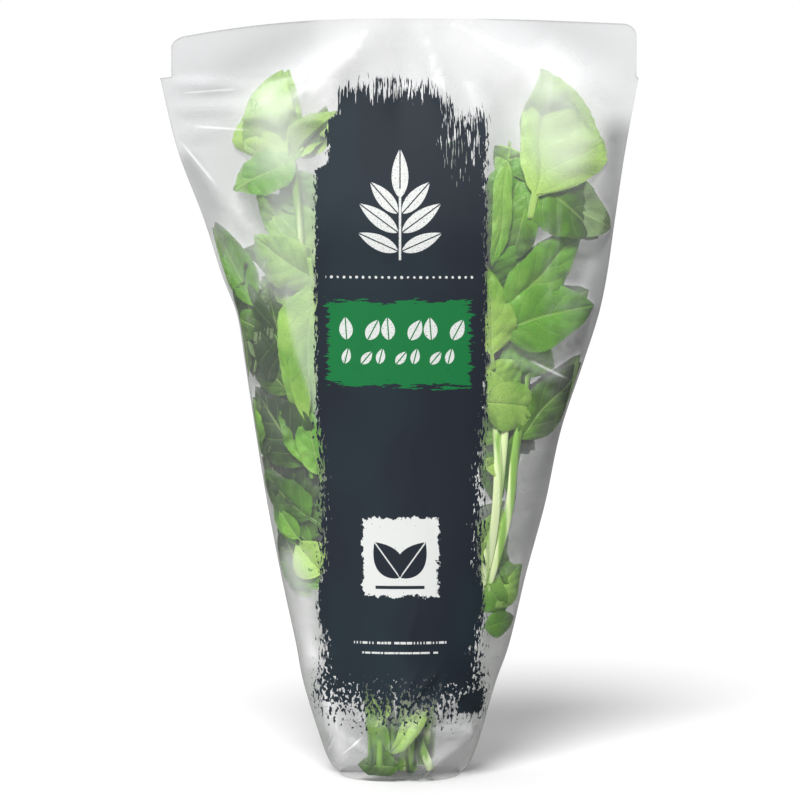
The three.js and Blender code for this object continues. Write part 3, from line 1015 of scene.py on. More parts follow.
    stalk = w.times(w.rise(w.size(x), 0.65, 0.4),
                   w.times(w.rise(z, 240.6, 241.2), w.rise(z, 273.4, 272.8)))
    pale_marks = w.higher(stamps(SPRIG_STAMPS + GREEN_STAMPS), stalk)
    # A row of dots, and two fine rules near the foot.
    dot_x = w.minus(w.math("FRACT", w.over(w.plus(x, 200.0), DOT_PITCH)), 0.5)
    dot_x = w.times(dot_x, DOT_PITCH)
    dot_z = w.minus(z, DOT_HEIGHT)
    dot_gap = w.math("SQRT", w.plus(w.power(dot_x, 2.0), w.power(dot_z, 2.0)))
    dot_size = w.scaled(w.flat_noise(flat, 0.5, 0.5, 1, 0.5), 0.5, 0.35)
    dots = w.times(w.rise(w.minus(dot_gap, dot_size), 0.12, -0.12), w.rise(w.size(x), 34.4, 34.0))
    pale_marks = w.higher(pale_marks, dots)
    for height, reach, thick in RULES:
        away = w.size(w.minus(z, height))
        dash = w.flat_noise(flat, 0.34, 0.0, 0, 0.5, height)
        rule = w.times(w.rise(away, thick + 0.12, thick - 0.12),
                      w.rise(w.size(x), reach + 0.2, reach - 0.2))
        rule = w.times(rule, w.rise(w.size(w.minus(dash, 0.5)), 0.03, 0.05))
        pale_marks = w.higher(pale_marks, rule)
    rubbed = w.rise(w.flat_noise(flat, 1.6, 1.6, 3, 0.7), 0.3, 0.42)
    colour = w.mix(w.times(pale_marks, rubbed), colour, colours["pale"])
    colour = w.mix(stamps(PALE_STAMPS), colour, colours["dark"])
    w.feed(outputs["Colour"], colour)
    w.feed(outputs["Ink"], w.times(panel, front))
    return group


# Hairlines of light seen from the front: from x, z to x, z and half width.
LIGHT_LINES = [
    (-102.6, 296, -82.7, 271.8, 0.4), (-98, 301, -64, 299, 0.3), (-103, 316, -72, 318, 0.3),
    (57.8, 195.3, 79.5, 183.7, 0.45), (-30, 34, -29, 21, 0.4), (-29, 23, -34, 11, 0.3),
    (-16, 22.5, -30, 9.5, 0.3), (40, 22, 20, 14, 0.4), (22, 16, 9, 0, 0.4),
]


def line_group():
    """Hairlines of light along creases of the front film, fading at both ends."""
    group, w, inputs, outputs = new_group("Light lines", {"Place": "Vector"}, {"Mask": "Float"})
    x, _, z = w.parts(inputs["Place"])
    total = 0.0
    for from_x, from_z, to_x, to_z, half in LIGHT_LINES:
        length = math.hypot(to_x - from_x, to_z - from_z)
        ux, uz = (to_x - from_x) / length, (to_z - from_z) / length
        middle_x, middle_z = (from_x + to_x) / 2, (from_z + to_z) / 2
        along = w.scaled(z, uz, -middle_x * ux - middle_z * uz)
        along = w.size(w.scaled(x, ux, along))
        off = w.scaled(z, -ux, middle_z * ux - middle_x * uz)
        off = w.size(w.scaled(x, uz, off))
        line = w.times(w.rise(off, half + 0.5, half - 0.2), w.rise(along, length / 2, length / 5))
        total = w.higher(line, total)
    w.feed(outputs["Mask"], total)
    return group


# Bands of painted highlight and painted shade seen from the front: from x, z to x, z, half width at
# each end, softness of the edge, the haze the band adds, and how white its painted highlight is or,
# below 0, how dark its painted shade is.
PAINTED_LIGHT_BANDS = [
    # at the mouth, left to right
    (-15.7, 345, -22, 332, 0.2, 3.2, 1.6, 0.4, 0.9),
    (-22, 332, -35, 316, 3.2, 7.0, 5.0, 0.4, 0.9), (-33, 318, -42, 309, 6.0, 5.0, 9.0, 0.35, 0.85),
    (12.6, 340, 19, 320, 0.2, 2.4, 1.2, 0.3, 0.6),
    (27, 345, 56, 333, 1.0, 3.0, 6.0, 0.3, 0.8), (56, 333, 78, 319, 3.0, 2.0, 8.0, 0.35, 0.8),
    (78, 319, 92, 309, 2.0, 1.0, 12.0, 0.3, 0.5),
    (30, 338, 56, 318, 5, 9, 20, 0.22, 0.7), (56, 318, 82, 304, 9, 6, 20, 0.22, 0.7),
    # down the left side
    (-74, 262, -62, 234, 1.0, 3.0, 26, 0.3, 0.8),
    (-88, 262, -70, 226, 2.0, 2.0, 6, 0.2, -0.35), (-98, 284, -87, 256, 4.5, 5.0, 8, 0.25, -0.4),
    # over the upper leaves
    (-58, 309, -53, 288, 12, 12, 22, 0.36, 0.85), (-45, 226, -38.5, 170, 9, 2.5, 3.0, 0.24, 0.25),
    (-46, 286, -50, 236, 9, 13, 16, 0.2, 0.2), (66, 318, 74, 296, 14, 16, 24, 0.4, 0.9),
    # down the right side
    (102, 292, 90, 212, 8, 12, 18, 0.18, -0.75), (90, 212, 62, 96, 12, 8, 16, 0.2, -0.85),
    (60, 96, 50, 44, 7, 5, 12, 0.3, -0.7),
    (86, 240, 80, 205, 0.5, 0.5, 7, 0.1, 0.25),
    # at the foot
    (32, 16, 26, 10, 7, 5, 10, 0.3, 0.35),
    (20, 9, 30, 20, 7, 6, 10, 0.35, 0.6),
    (-34, 44, -30, 14, 2, 3, 8, 0.3, 0.5), (-41, 58, -48, 98, 5, 6, 12, 0.4, 0.7),
]


def painted_light_at(points):
    """Zones of painted highlight and painted shade on the front film: the haze they add, how white and
    how dark.
    """
    x, _, z = np.asarray(points).T
    shift = 1.6 * np.sin(0.11 * x + 0.05 * z + 1.0) + 1.2 * np.sin(0.07 * z - 0.13 * x)
    x, z = x + shift, z - shift
    haze, white, dark = np.zeros_like(x), np.zeros_like(x), np.zeros_like(x)
    for from_x, from_z, to_x, to_z, wide, wide_end, edge, milk, shine in PAINTED_LIGHT_BANDS:
        along_x, along_z = to_x - from_x, to_z - from_z
        share = ((x - from_x) * along_x + (z - from_z) * along_z) / (along_x**2 + along_z**2)
        share = np.clip(share, 0, 1)
        gap = np.hypot(x - from_x - share * along_x, z - from_z - share * along_z)
        half = wide + share * (wide_end - wide)
        mask = 1 - smoothstep((gap - half) / edge, -0.5, 0.5)
        haze = np.maximum(haze, mask * milk)
        white = np.maximum(white, mask * shine)
        dark = np.maximum(dark, mask * -shine)
    return haze, white, dark


def film_material(look):
    """Clear film: hazy where it stands free, clear where it clings to a leaf, printed, and with bands
    of painted highlight and painted shade.
    """
    material, w, shader, output = new_material("Printed film")
    place = w.attribute("film_place", "Vector")
    free = w.attribute("free")
    crease = w.attribute("crease")
    colours = {"dark": look.dark, "dark_light": look.dark_light,
               "green": look.green, "pale": look.pale}
    ink = use_group(w, print_group(colours), Place=place)
    # The printed side is the clearer one. The milkier back shows up what stands before it.
    back = w.rise(w.parts(place)[1], -0.6, 0.2)
    clouds = w.noise(w.stretched(place, (0.02, 0.7, 0.016)), 1, 3, 0.6)
    clouds = w.scaled(clouds, 0.16, -0.08)
    veil = w.scaled(free, look.veil, look.veil * 0.36)
    thin = w.rise(w.size(w.parts(place)[0]), 33.0, 44.0, 0.45, 1.0)
    haze = w.times(w.plus(clouds, look.haze), w.scaled(free, 0.5, 0.5))
    haze = w.times(haze, thin)
    front = w.minus(1.0, back)
    haze = w.plus(w.times(haze, back), w.times(w.scaled(clouds, 0.3, veil), front))
    facing = w.node("ShaderNodeLayerWeight", {"Blend": 0.25}).outputs["Facing"]
    haze = w.scaled(w.power(facing, 3.0), 0.15, haze)
    haze = w.scaled(crease, 0.12, haze)
    # Painted highlights and painted shade: the bands and the hairlines of light add haze and turn the
    # film's colour white, and the dark bands turn it dark.
    sheen = w.attribute("sheen", "Vector")
    milky, white, shaded = w.parts(sheen)
    seen = w.stretched(w.own_place(), (1000, 1000, 1000))
    lines = use_group(w, line_group(), Place=seen)["Mask"]
    milky = w.higher(milky, w.times(lines, 0.32))
    white = w.higher(white, w.times(lines, 0.85))
    haze = w.plus(w.times(milky, front), haze, clamp=True)
    film = w.mix(shaded, look.film, (0.16, 0.16, 0.165))
    film = w.mix(white, film, (0.82, 0.82, 0.82))
    ripples = w.noise(w.stretched(place, (0.05, 1, 0.03)), 1, 2, 0.5)
    w.fill(shader, {
        "Base Color": w.mix(ink["Ink"], film, ink["Colour"]),
        "Alpha": w.higher(haze, ink["Ink"]),
        "Roughness": w.scaled(ink["Ink"], 0.48, 0.22),
        "Coat Weight": w.scaled(ink["Ink"], -0.25, 0.25),
        "Normal": w.bump(0.2, 0.0016, ripples),
        "IOR": 1.5, "Specular IOR Level": 0.3, "Coat Roughness": 0.2,
    })
    # Haze scatters light on into the pouch, so the clear film casts only a faint shadow.
    shadow = w.node("ShaderNodeLightPath").outputs["Is Shadow Ray"]
    clear = w.times(w.minus(1.0, ink["Ink"]), w.scaled(back, -0.5, 0.85))
    glass = w.node("ShaderNodeBsdfTransparent")
    both = w.node("ShaderNodeMixShader",
                  {0: w.times(shadow, clear), 1: shader.outputs[0], 2: glass.outputs[0]})
    w.feed(output.inputs["Surface"], both.outputs[0])
    return material


def leaf_material(look):
    """A basil leaf: quilted satin green above, paler and duller beneath, with pale veins."""
    material, w, shader, output = new_material("Basil leaf")
    place = w.attribute("leaf_place", "Vector")
    tint = w.attribute("tint")
    across, along, face = w.parts(place)
    side = w.size(across)
    hue = w.attribute("hue")
    coords = w.own_place()
    blotch = w.noise(coords, 60, 3, 0.6)
    # The tint is partly each leaf's own colour and partly painted light and shade; blotches vary it at
    # random.
    shade = w.plus(tint, w.scaled(blotch, 0.6, -0.3))
    shade = w.plus(shade, w.rise(along, 0.0, 1.0, 0.1, -0.1), clamp=True)
    colour = w.mix(w.rise(shade, 0.0, 0.5), look.leaf_dark, look.leaf)
    colour = w.mix(w.rise(shade, 0.5, 1.0), colour, look.leaf_pale)
    colour = w.mix(w.times(w.times(hue, shade), 0.4), colour, look.leaf_yellow)
    rank = w.scaled(w.power(side, 1.2), -0.3, along)
    wave = w.math("SINE", w.scaled(rank, math.pi * 5, math.pi * 0.3))
    vein = w.times(w.rise(w.size(wave), 0.2, 0.03), w.rise(side, 1.0, 0.7))
    rib = w.rise(side, 0.07, 0.025)
    veins = w.higher(w.times(vein, 0.5), rib)
    colour = w.mix(w.times(veins, 0.32), colour, look.leaf_pale)
    under = w.rise(face, 0.2, -0.2)
    colour = w.mix(w.times(under, 0.45), colour, srgb(176, 208, 140))
    net = w.noise(coords, 520, 1, 0.5)
    net = w.rise(w.size(w.minus(net, 0.5)), 0.0, 0.06)
    colour = w.mix(w.scaled(net, -0.12, 0.12), colour, look.leaf_dark)
    height = w.scaled(veins, -0.7, w.times(net, 0.3))
    w.fill(shader, {"Base Color": colour, "Roughness": w.scaled(under, 0.2, 0.42),
                    "Specular IOR Level": 0.35, "Normal": w.bump(0.6, 0.0005, height)})
    glow = w.node("ShaderNodeBsdfTranslucent", {"Color": w.mix(0.45, colour, srgb(196, 226, 84))})
    both = w.node("ShaderNodeMixShader", {0: 0.4, 1: shader.outputs[0], 2: glow.outputs[0]})
    w.feed(output.inputs["Surface"], both.outputs[0])
    return material


def stem_material(look):
    """A pale green juicy stem, streaked lengthwise and greener towards the top."""
    material, w, shader, _ = new_material("Basil stem")
    coords = w.own_place()
    _, _, z = w.parts(coords)
    streaks = w.noise(w.stretched(coords, (700, 700, 30)), 1, 3, 0.6)
    each = w.noise(w.stretched(coords, (170, 170, 4)), 1, 1)
    green = w.total(w.rise(z, 0.05, 0.3, 0.1, 0.7), w.scaled(streaks, 0.5, -0.25),
                    w.rise(z, 0.09, 0.03), w.scaled(each, 5.0, -2.5))
    colour = w.mix(w.rise(green, 0.0, 0.7), look.stem, srgb(126, 172, 66))
    colour = w.mix(w.rise(green, 0.8, 1.7), colour, srgb(44, 80, 26))
    w.fill(shader, {"Base Color": colour, "Roughness": 0.36, "Normal": w.bump(0.3, 0.0004, streaks),
                    "Subsurface Weight": 0.25, "Subsurface Radius": (0.002, 0.003, 0.001),
                    "Subsurface Scale": 1.0})
    return material


def floor_material(look):
    """A smooth white floor that throws little light back at the film."""
    material, w, shader, _ = new_material("Pale floor")
    seen = w.node("ShaderNodeLightPath").outputs["Is Camera Ray"]
    grain = w.noise(w.own_place(), 60, 4, 0.6)
    pale = w.mix(w.times(grain, 0.04), look.floor, (0.62, 0.62, 0.62))
    w.fill(shader, {"Base Color": w.mix(seen, (0.26, 0.26, 0.26), pale), "Roughness": 0.9,
                    "Specular IOR Level": 0.1})
    return material


# ---------------------------------------------------------------- geometry node trees

def new_tree(name, sockets):
    """An empty geometry node tree with named inputs, its wires, inputs and output node."""
    tree = bpy.data.node_groups.new(name, "GeometryNodeTree")
    tree.interface.new_socket("Geometry", in_out="INPUT", socket_type="NodeSocketGeometry")
    for key, kind in sockets.items():
        tree.interface.new_socket(key, in_out="INPUT", socket_type="NodeSocket" + kind)
    tree.interface.new_socket("Geometry", in_out="OUTPUT", socket_type="NodeSocketGeometry")
    wires = Wires(tree)
    return tree, wires, wires.node("NodeGroupInput").outputs, wires.node("NodeGroupOutput").inputs


def finish_tree(w, geometry, inputs, outputs):
    """Ends a tree in real geometry with its material."""
    real = w.node("GeometryNodeRealizeInstances", {"Geometry": geometry})
    dressed = w.node("GeometryNodeSetMaterial",
                     {"Geometry": real.outputs[0], "Material": inputs["Material"]})
    w.feed(outputs["Geometry"], dressed.outputs[0])


def planting_tree():
    """Sets a leaf on every guide point, turned and scaled as the point's attributes say."""
    tree, w, inputs, outputs = new_tree(
        "Leaf planting",
        {"Leaf": "Object", "Size Spread": "Float", "Twist": "Float", "Seed": "Int",
         "Material": "Material"},
    )

    def named(key, kind):
        return w.node("GeometryNodeInputNamedAttribute", {"Name": key}, data_type=kind).outputs[0]

    grow = w.node("FunctionNodeAlignRotationToVector", {"Vector": named("aim", "FLOAT_VECTOR")},
                  axis="Y")
    face = w.node("FunctionNodeAlignRotationToVector",
                  {"Rotation": grow.outputs[0], "Vector": named("face", "FLOAT_VECTOR")},
                  axis="Z", pivot_axis="Y")
    twist = w.node("FunctionNodeRandomValue", {"Seed": inputs["Seed"]}, data_type="FLOAT")
    w.feed(twist.inputs[2], w.times(inputs["Twist"], -1.0))
    w.feed(twist.inputs[3], inputs["Twist"])
    turn = w.node("FunctionNodeAxisAngleToRotation", {"Axis": (0, 1, 0), "Angle": twist.outputs[1]})
    turned = w.node("FunctionNodeRotateRotation", {"Rotation": face.outputs[0],
                                                   "Rotate By": turn.outputs[0]},
                    rotation_space="LOCAL")
    spread = w.node("FunctionNodeRandomValue", {"Seed": inputs["Seed"]}, data_type="FLOAT")
    w.feed(spread.inputs[2], w.minus(1.0, inputs["Size Spread"]))
    w.feed(spread.inputs[3], w.plus(1.0, inputs["Size Spread"]))
    size = w.node("ShaderNodeVectorMath", {0: named("scale", "FLOAT_VECTOR")}, operation="SCALE")
    w.feed(size.inputs["Scale"], spread.outputs[1])
    leaf = w.node("GeometryNodeObjectInfo", {"Object": inputs["Leaf"]})
    planted = w.node(
        "GeometryNodeInstanceOnPoints",
        {"Points": inputs["Geometry"], "Instance": leaf.outputs["Geometry"],
         "Rotation": turned.outputs[0], "Scale": size.outputs[0]},
    )
    finish_tree(w, planted.outputs[0], inputs, outputs)
    return tree


def stem_tree():
    """Sweeps a round section along every guide line, as thick as the line's radius says."""
    tree, w, inputs, outputs = new_tree(
        "Stem sweep", {"Thickness": "Float", "Sides": "Int", "Material": "Material"})
    radius = w.node("GeometryNodeInputNamedAttribute", {"Name": "radius"}, data_type="FLOAT")
    curve = w.node("GeometryNodeMeshToCurve", {"Mesh": inputs["Geometry"]})
    sized = w.node("GeometryNodeSetCurveRadius",
                   {"Curve": curve.outputs[0], "Radius": radius.outputs[0]})
    section = w.node("GeometryNodeCurvePrimitiveCircle",
                     {"Resolution": inputs["Sides"], "Radius": inputs["Thickness"]})
    swept = w.node("GeometryNodeCurveToMesh",
                   {"Curve": sized.outputs[0], "Profile Curve": section.outputs["Curve"],
                    "Fill Caps": True})
    smooth = w.node("GeometryNodeSetShadeSmooth", {"Geometry": swept.outputs[0]})
    finish_tree(w, smooth.outputs[0], inputs, outputs)
    return tree


def grown(name, guides, tree, **values):
    """A plain mesh object made by running a tree on a guide object, which is then removed."""
    modifier = guides.modifiers.new("Grow", "NODES")
    modifier.node_group = tree
    for item in tree.interface.items_tree:
        key = item.name.lower().replace(" ", "_")
        if item.in_out == "INPUT" and key in values:
            modifier[item.identifier] = values[key]
    depsgraph = bpy.context.evaluated_depsgraph_get()
    mesh = bpy.data.meshes.new_from_object(guides.evaluated_get(depsgraph), depsgraph=depsgraph)
    bpy.data.objects.remove(guides)
    mesh.name = name
    piece = bpy.data.objects.new(name, mesh)
    bpy.context.scene.collection.objects.link(piece)
    return piece


# Slow waves that bend the leaves: length, swing and axis.
LEAF_WAVES = (46, 1.6, 1), (23, 0.5, 1), (38, 0.8, 0)


def plant_leaves(name, kind, guides, steps, material, look):
    """One piece with every leaf of one kind, pressed into the pouch."""
    points, faces, places = leaf_form(*steps, **LEAF_KINDS[kind])
    leaf = new_object(name + "_leaf", points / MM, faces, leaf_place=places)
    rim = places[:, 2] == 0
    sharp = leaf.data.attributes.new("sharp_edge", "BOOLEAN", "EDGE").data
    sharp.foreach_set("value", [bool(rim[list(e.vertices)].all()) for e in leaf.data.edges])
    guide_object = new_object(
        name + "_guides", [g["at"] for g in guides], [],
        aim=np.array([g["aim"] for g in guides]), face=np.array([g["face"] for g in guides]),
        scale=np.array([g["scale"] for g in guides]) * MM,
        tint=np.array([g["tint"] for g in guides]), depth=np.array([g["depth"] for g in guides], float),
        hue=np.random.default_rng(len(guides)).random(len(guides)),
    )
    piece = grown(name, guide_object, planting_tree(), leaf=leaf, size_spread=look.size_spread,
                  twist=look.twist, seed=look.seed, material=material)
    bpy.data.objects.remove(leaf)
    points = mesh_points(piece)
    for length, swing, axis in LEAF_WAVES:
        wave = np.sin(points @ np.array([1.0, 0.7, 0.9]) * 2 * math.pi / length + 1.3 * axis)
        points[:, axis] += swing * wave
    depth = np.empty(len(points))
    piece.data.attributes["depth"].data.foreach_get("value", depth)
    move_points(piece, pressed_inside(points, depth))
    piece.data.shade_smooth()
    return piece


# ---------------------------------------------------------------- settings

class PouchLook(bpy.types.PropertyGroup):
    """Finish and print of the film."""

    haze: FloatProperty(name="Haze", description="How milky the back film is where it stands free",
                        default=0.86, min=0, max=1, subtype="FACTOR")
    veil: FloatProperty(name="Veil", description="How milky the printed film is", default=0.22,
                        min=0, max=1, subtype="FACTOR")
    film: FloatVectorProperty(name="Film", description="Colour of the film's haze", size=3,
                              subtype="COLOR", default=(0.62, 0.625, 0.63))
    dark: FloatVectorProperty(name="Panel", description="Colour of the printed panel", size=3,
                              subtype="COLOR", default=srgb(17, 26, 37))
    dark_light: FloatVectorProperty(name="Panel, lighter", description="Lighter parts of the panel",
                                    size=3, subtype="COLOR", default=srgb(20, 34, 43))
    green: FloatVectorProperty(name="Patch", description="Colour of the green patch", size=3,
                               subtype="COLOR", default=srgb(0, 104, 50))
    pale: FloatVectorProperty(name="Pale ink", description="Colour of the pale marks", size=3,
                              subtype="COLOR", default=srgb(204, 206, 204))


class BasilLook(bpy.types.PropertyGroup):
    """Colours of the basil and how evenly it grows."""

    leaf_dark: FloatVectorProperty(name="Dark leaf", description="Colour of the darkest leaves",
                                   size=3, subtype="COLOR", default=srgb(24, 60, 14))
    leaf: FloatVectorProperty(name="Leaf", description="Colour of most leaves", size=3,
                              subtype="COLOR", default=srgb(108, 178, 42))
    leaf_pale: FloatVectorProperty(name="Pale leaf", description="Colour of the young leaves",
                                   size=3, subtype="COLOR", default=srgb(196, 234, 124))
    leaf_yellow: FloatVectorProperty(name="Yellow leaf", description="Colour that leaves may lean to",
                                     size=3, subtype="COLOR", default=srgb(176, 204, 60))
    stem: FloatVectorProperty(name="Stem", description="Colour of the stems near the foot", size=3,
                              subtype="COLOR", default=srgb(214, 234, 170))
    size_spread: FloatProperty(name="Size spread", description="How unequal the leaves are",
                               default=0.05, min=0, max=0.5, subtype="FACTOR")
    twist: FloatProperty(name="Twist", description="How far leaves turn on their stalks",
                         default=0.14, min=0, max=1, subtype="ANGLE")
    stem_radius: FloatProperty(name="Stem radius", description="Radius of a stem at its foot",
                               default=0.002, min=0.0005, max=0.006, unit="LENGTH")
    seed: IntProperty(name="Seed", description="Changes the random growth", default=5)


class StageLook(bpy.types.PropertyGroup):
    """Floor, light and camera."""

    floor: FloatVectorProperty(name="Floor", description="Colour of the floor", size=3,
                               subtype="COLOR", default=(0.65, 0.65, 0.65))
    sun: FloatProperty(name="Main light", description="Strength of the main soft light",
                       default=4.4, min=0)
    sun_size: FloatProperty(name="Softness", description="How wide the main light is",
                            default=math.radians(24), subtype="ANGLE")
    distance: FloatProperty(name="Camera distance", description="From the camera to the pouch",
                            default=2.4, min=0.5, unit="LENGTH")
    rise: FloatProperty(name="Camera rise", description="How far the camera looks down",
                        default=math.radians(6), subtype="ANGLE")


# ---------------------------------------------------------------- operators

class BASIL_OT_stems(bpy.types.Operator):
    """Grow the stems from the foot of the pouch"""

    bl_idname = "basil.stems"
    bl_label = "Stems"

    def execute(self, context):
        look = context.scene.basil_look
        points, edges, radii = [], [], []
        for stem in STEMS:
            curve = spline(stem, 14)
            start = len(points)
            points += list(curve)
            edges += [(start + i, start + i + 1) for i in range(len(curve) - 1)]
            radii += [*np.linspace(1, STEM_END, len(curve) - len(STEM_TIP)), *STEM_TIP]
        mesh = bpy.data.meshes.new("stem_guides")
        mesh.from_pydata((np.array(points) * MM).tolist(), edges, [])
        mesh.attributes.new("radius", "FLOAT", "POINT").data.foreach_set("value", radii)
        guides = bpy.data.objects.new("stem_guides", mesh)
        context.scene.collection.objects.link(guides)
        piece = grown("basil_stems", guides, stem_tree(), thickness=look.stem_radius,
                      sides=STEM_SIDES, material=stem_material(look))
        move_points(piece, pressed_inside(mesh_points(piece)))
        as_piece(piece)
        return {"FINISHED"}


class BASIL_OT_leaves(bpy.types.Operator):
    """Grow the basil leaves, one piece for each kind"""

    bl_idname = "basil.leaves"
    bl_label = "Leaves"

    def execute(self, context):
        look = context.scene.basil_look
        rng = np.random.default_rng(look.seed)
        material = leaf_material(look)
        groups = (("shown", shown_guides(rng), SHOWN_STEPS),
                  ("inner", sprig_guides(rng), INNER_STEPS))
        for group, guides, steps in groups:
            for kind in sorted({g["kind"] for g in guides}):
                own = [g for g in guides if g["kind"] == kind]
                piece = plant_leaves(f"basil_{group}_{kind}", kind, own, steps, material, look)
                as_piece(piece)
        return {"FINISHED"}


class BASIL_OT_film(bpy.types.Operator):
    """Make the printed film round the leaves"""

    bl_idname = "basil.film"
    bl_label = "Film"

    def execute(self, context):
        points, places = creased_film()
        rows, count = points.shape[:2]
        lowest, lowest_place = points[0], places[0]
        rings = [lowest * (share, share, 1) for share in np.arange(1, FOOT_RINGS) / FOOT_RINGS]
        foot = np.stack(rings)
        foot[..., 2] = rim_lift(foot[..., 0], foot[..., 1], 0.0)
        foot_places = np.repeat(lowest_place[None], FOOT_RINGS - 1, axis=0)
        grid = np.concatenate([foot, points])
        flat = np.vstack([grid.reshape(-1, 3), [[0, 0, 0]]])
        flat_places = np.vstack([foot_places.reshape(-1, 3), places.reshape(-1, 3), [[0, 0, 0]]])
        faces = film_faces(rows + FOOT_RINGS - 1, count, len(flat) - 1)
        crease = sharpness(grid)
        # The film's points carry its painted highlight and painted shade.
        piece = new_object("pouch_film", flat, faces, film_place=flat_places,
                           sheen=np.stack(painted_light_at(flat), axis=-1),
                           crease=np.append(crease.ravel(), 0))
        leaves = [o for o in context.scene.objects if o.name.startswith(("basil_shown", "basil_stems"))]
        sides = np.concatenate([foot_places, places])[..., 1]
        free = np.append(freedom(grid, sides, leaves).ravel(), 1)
        piece.data.attributes.new("free", "FLOAT", "POINT").data.foreach_set("value", free)
        piece.data.materials.append(film_material(context.scene.pouch_look))
        as_piece(piece)
        return {"FINISHED"}


def sharpness(grid):
    """How sharply the film is creased at each point, from 0 to 1."""
    around = np.roll(grid, 1, axis=1) + np.roll(grid, -1, axis=1) - 2 * grid
    upward = np.zeros_like(grid)
    upward[1:-1] = grid[2:] + grid[:-2] - 2 * grid[1:-1]
    normals = grid_normals(grid)
    bend = np.abs(np.sum(around * normals, axis=-1)) + np.abs(np.sum(upward * normals, axis=-1))
    return np.clip(bend * 2.2 - 0.15, 0, 1)


def freedom(grid, sides, pieces):
    """How far the film stands off the leaves and stems behind it, from 0, touching, to 1, free."""
    corners, faces = [], []
    for piece in pieces:
        mesh = piece.data
        start = len(corners)
        corners += [v.co.copy() for v in mesh.vertices]
        mesh.calc_loop_triangles()
        faces += [tuple(start + i for i in t.vertices) for t in mesh.loop_triangles]
    tree = BVHTree.FromPolygons(corners, faces)
    reach = FREE_GAP * MM
    gaps = []
    for start, side in zip(grid.reshape(-1, 3) * MM, sides.ravel()):
        found = tree.ray_cast(Vector(start), Vector((0, -side, 0)), reach)[3]
        gaps.append(reach if found is None else found)
    free = np.interp(np.array(gaps).reshape(grid.shape[:2]) / MM, *FREE_BY_GAP)
    free[1:-1] = (free[1:-1] * 2 + free[2:] + free[:-2]) / 4
    return (free * 2 + np.roll(free, 1, axis=1) + np.roll(free, -1, axis=1)) / 4


FLOOR_RADIUS, FLOOR_SIDES = 1.7, 96
SUN_FROM = (-0.2, -1.0, 1.2)
MOST_FILMS = 16  # clear films and leaves that a ray of light may cross


class BASIL_OT_stage(bpy.types.Operator):
    """Set up the floor, the soft light and the camera"""

    bl_idname = "basil.stage"
    bl_label = "Stage"

    def execute(self, context):
        look = context.scene.stage_look
        turns = np.linspace(0, 2 * math.pi, FLOOR_SIDES, endpoint=False)
        rim = FLOOR_RADIUS / MM * np.stack([np.cos(turns), np.sin(turns), 0 * turns], axis=-1)
        floor = new_object("floor", rim, [tuple(range(FLOOR_SIDES))])
        floor.data.materials.append(floor_material(look))
        sun = bpy.data.lights.new("sun", "SUN")
        sun.energy, sun.angle = look.sun, look.sun_size
        lamp = bpy.data.objects.new("sun", sun)
        lamp.rotation_euler = (-Vector(SUN_FROM)).to_track_quat("-Z", "Y").to_euler()
        context.scene.collection.objects.link(lamp)
        context.scene.world = studio_world()
        context.scene.view_settings.view_transform = "Standard"
        context.scene.cycles.transparent_max_bounces = MOST_FILMS
        aim_camera(context.scene, look)
        return {"FINISHED"}


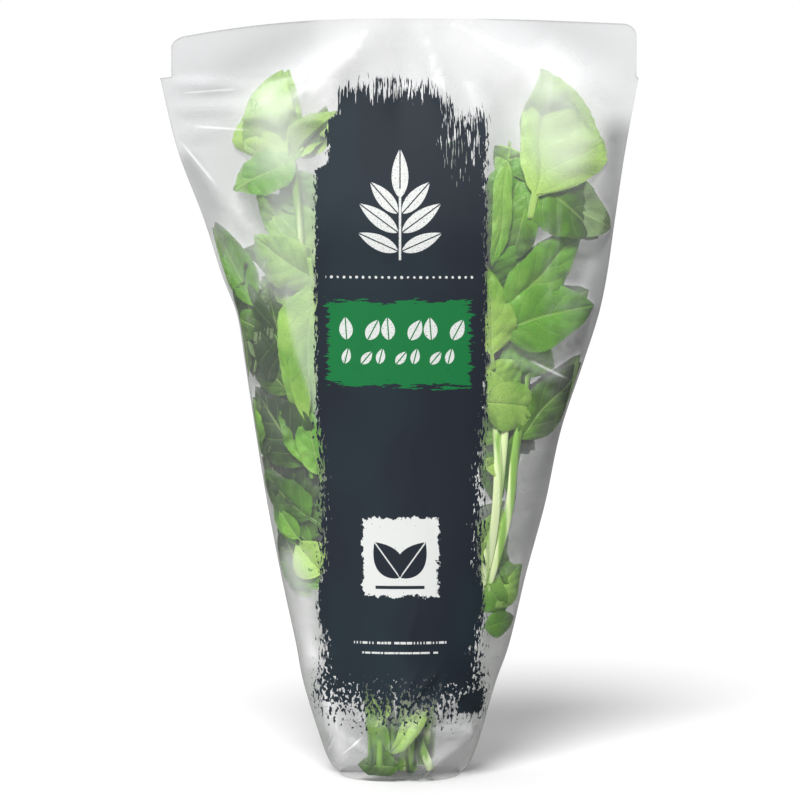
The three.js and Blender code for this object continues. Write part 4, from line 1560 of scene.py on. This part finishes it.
def studio_world():
    """Soft light from above and from the left, dim from the right, and white to look at."""
    world = bpy.data.worlds.new("Studio")
    world.use_nodes = True
    world.node_tree.nodes.clear()
    w = Wires(world.node_tree)
    x, y, z = w.parts(w.node("ShaderNodeTexCoord").outputs["Generated"])
    above = w.times(w.higher(z, 0.0), 0.3)
    left = w.times(w.higher(w.times(x, -1.0), 0.0), 0.95)
    behind = w.times(w.higher(y, 0.0), 0.75)
    window = w.times(w.rise(x, -0.86, -0.92), w.rise(z, 0.0, 0.1))
    window = w.times(window, 0.8)
    light = w.node("ShaderNodeBackground",
                   {"Color": (1, 1, 1), "Strength": w.total(0.05, above, left, behind, window)})
    plain = w.node("ShaderNodeBackground", {"Color": (1, 1, 1)})
    seen = w.node("ShaderNodeLightPath").outputs["Is Camera Ray"]
    both = w.node("ShaderNodeMixShader", {0: seen, 1: light.outputs[0], 2: plain.outputs[0]})
    output = w.node("ShaderNodeOutputWorld")
    w.feed(output.inputs["Surface"], both.outputs[0])
    return world


PHOTO_WIDTH = 0.3697  # how much of the scene the square frame shows at the pouch
PHOTO_MIDDLE = 0.1742  # height of the frame's middle


def aim_camera(scene, look):
    """A long lens on the printed front, a little above it."""
    data = bpy.data.cameras.new("camera")
    data.sensor_width = 36
    data.lens = data.sensor_width * look.distance / PHOTO_WIDTH
    data.clip_end = 100
    camera = bpy.data.objects.new("camera", data)
    way = Vector((0, -math.cos(look.rise), math.sin(look.rise)))
    target = Vector((0, 0, PHOTO_MIDDLE))
    camera.location = target + way * look.distance
    camera.rotation_euler = (-way).to_track_quat("-Z", "Y").to_euler()
    scene.collection.objects.link(camera)
    scene.camera = camera


class BASIL_PT_panel(bpy.types.Panel):
    """Buttons for every step of the pouch"""

    bl_label = "Basil pouch"
    bl_idname = "BASIL_PT_panel"
    bl_space_type = "VIEW_3D"
    bl_region_type = "UI"
    bl_category = "Basil"

    def draw(self, context):
        for settings in (context.scene.pouch_look, context.scene.basil_look,
                         context.scene.stage_look):
            box = self.layout.box()
            for key in settings.__annotations__:
                box.prop(settings, key)
        for step in STEPS:
            self.layout.operator(step.bl_idname)


STEPS = (BASIL_OT_stems, BASIL_OT_leaves, BASIL_OT_film, BASIL_OT_stage)
CLASSES = (PouchLook, BasilLook, StageLook, *STEPS, BASIL_PT_panel)


def register():
    for item in CLASSES:
        bpy.utils.register_class(item)
    bpy.types.Scene.pouch_look = PointerProperty(type=PouchLook)
    bpy.types.Scene.basil_look = PointerProperty(type=BasilLook)
    bpy.types.Scene.stage_look = PointerProperty(type=StageLook)


def unregister():
    del bpy.types.Scene.stage_look, bpy.types.Scene.basil_look, bpy.types.Scene.pouch_look
    for item in reversed(CLASSES):
        bpy.utils.unregister_class(item)


def main():
    register()
    bpy.ops.basil.stems()
    bpy.ops.basil.leaves()
    bpy.ops.basil.film()
    bpy.ops.basil.stage()


if __name__ == "__main__":
    main()
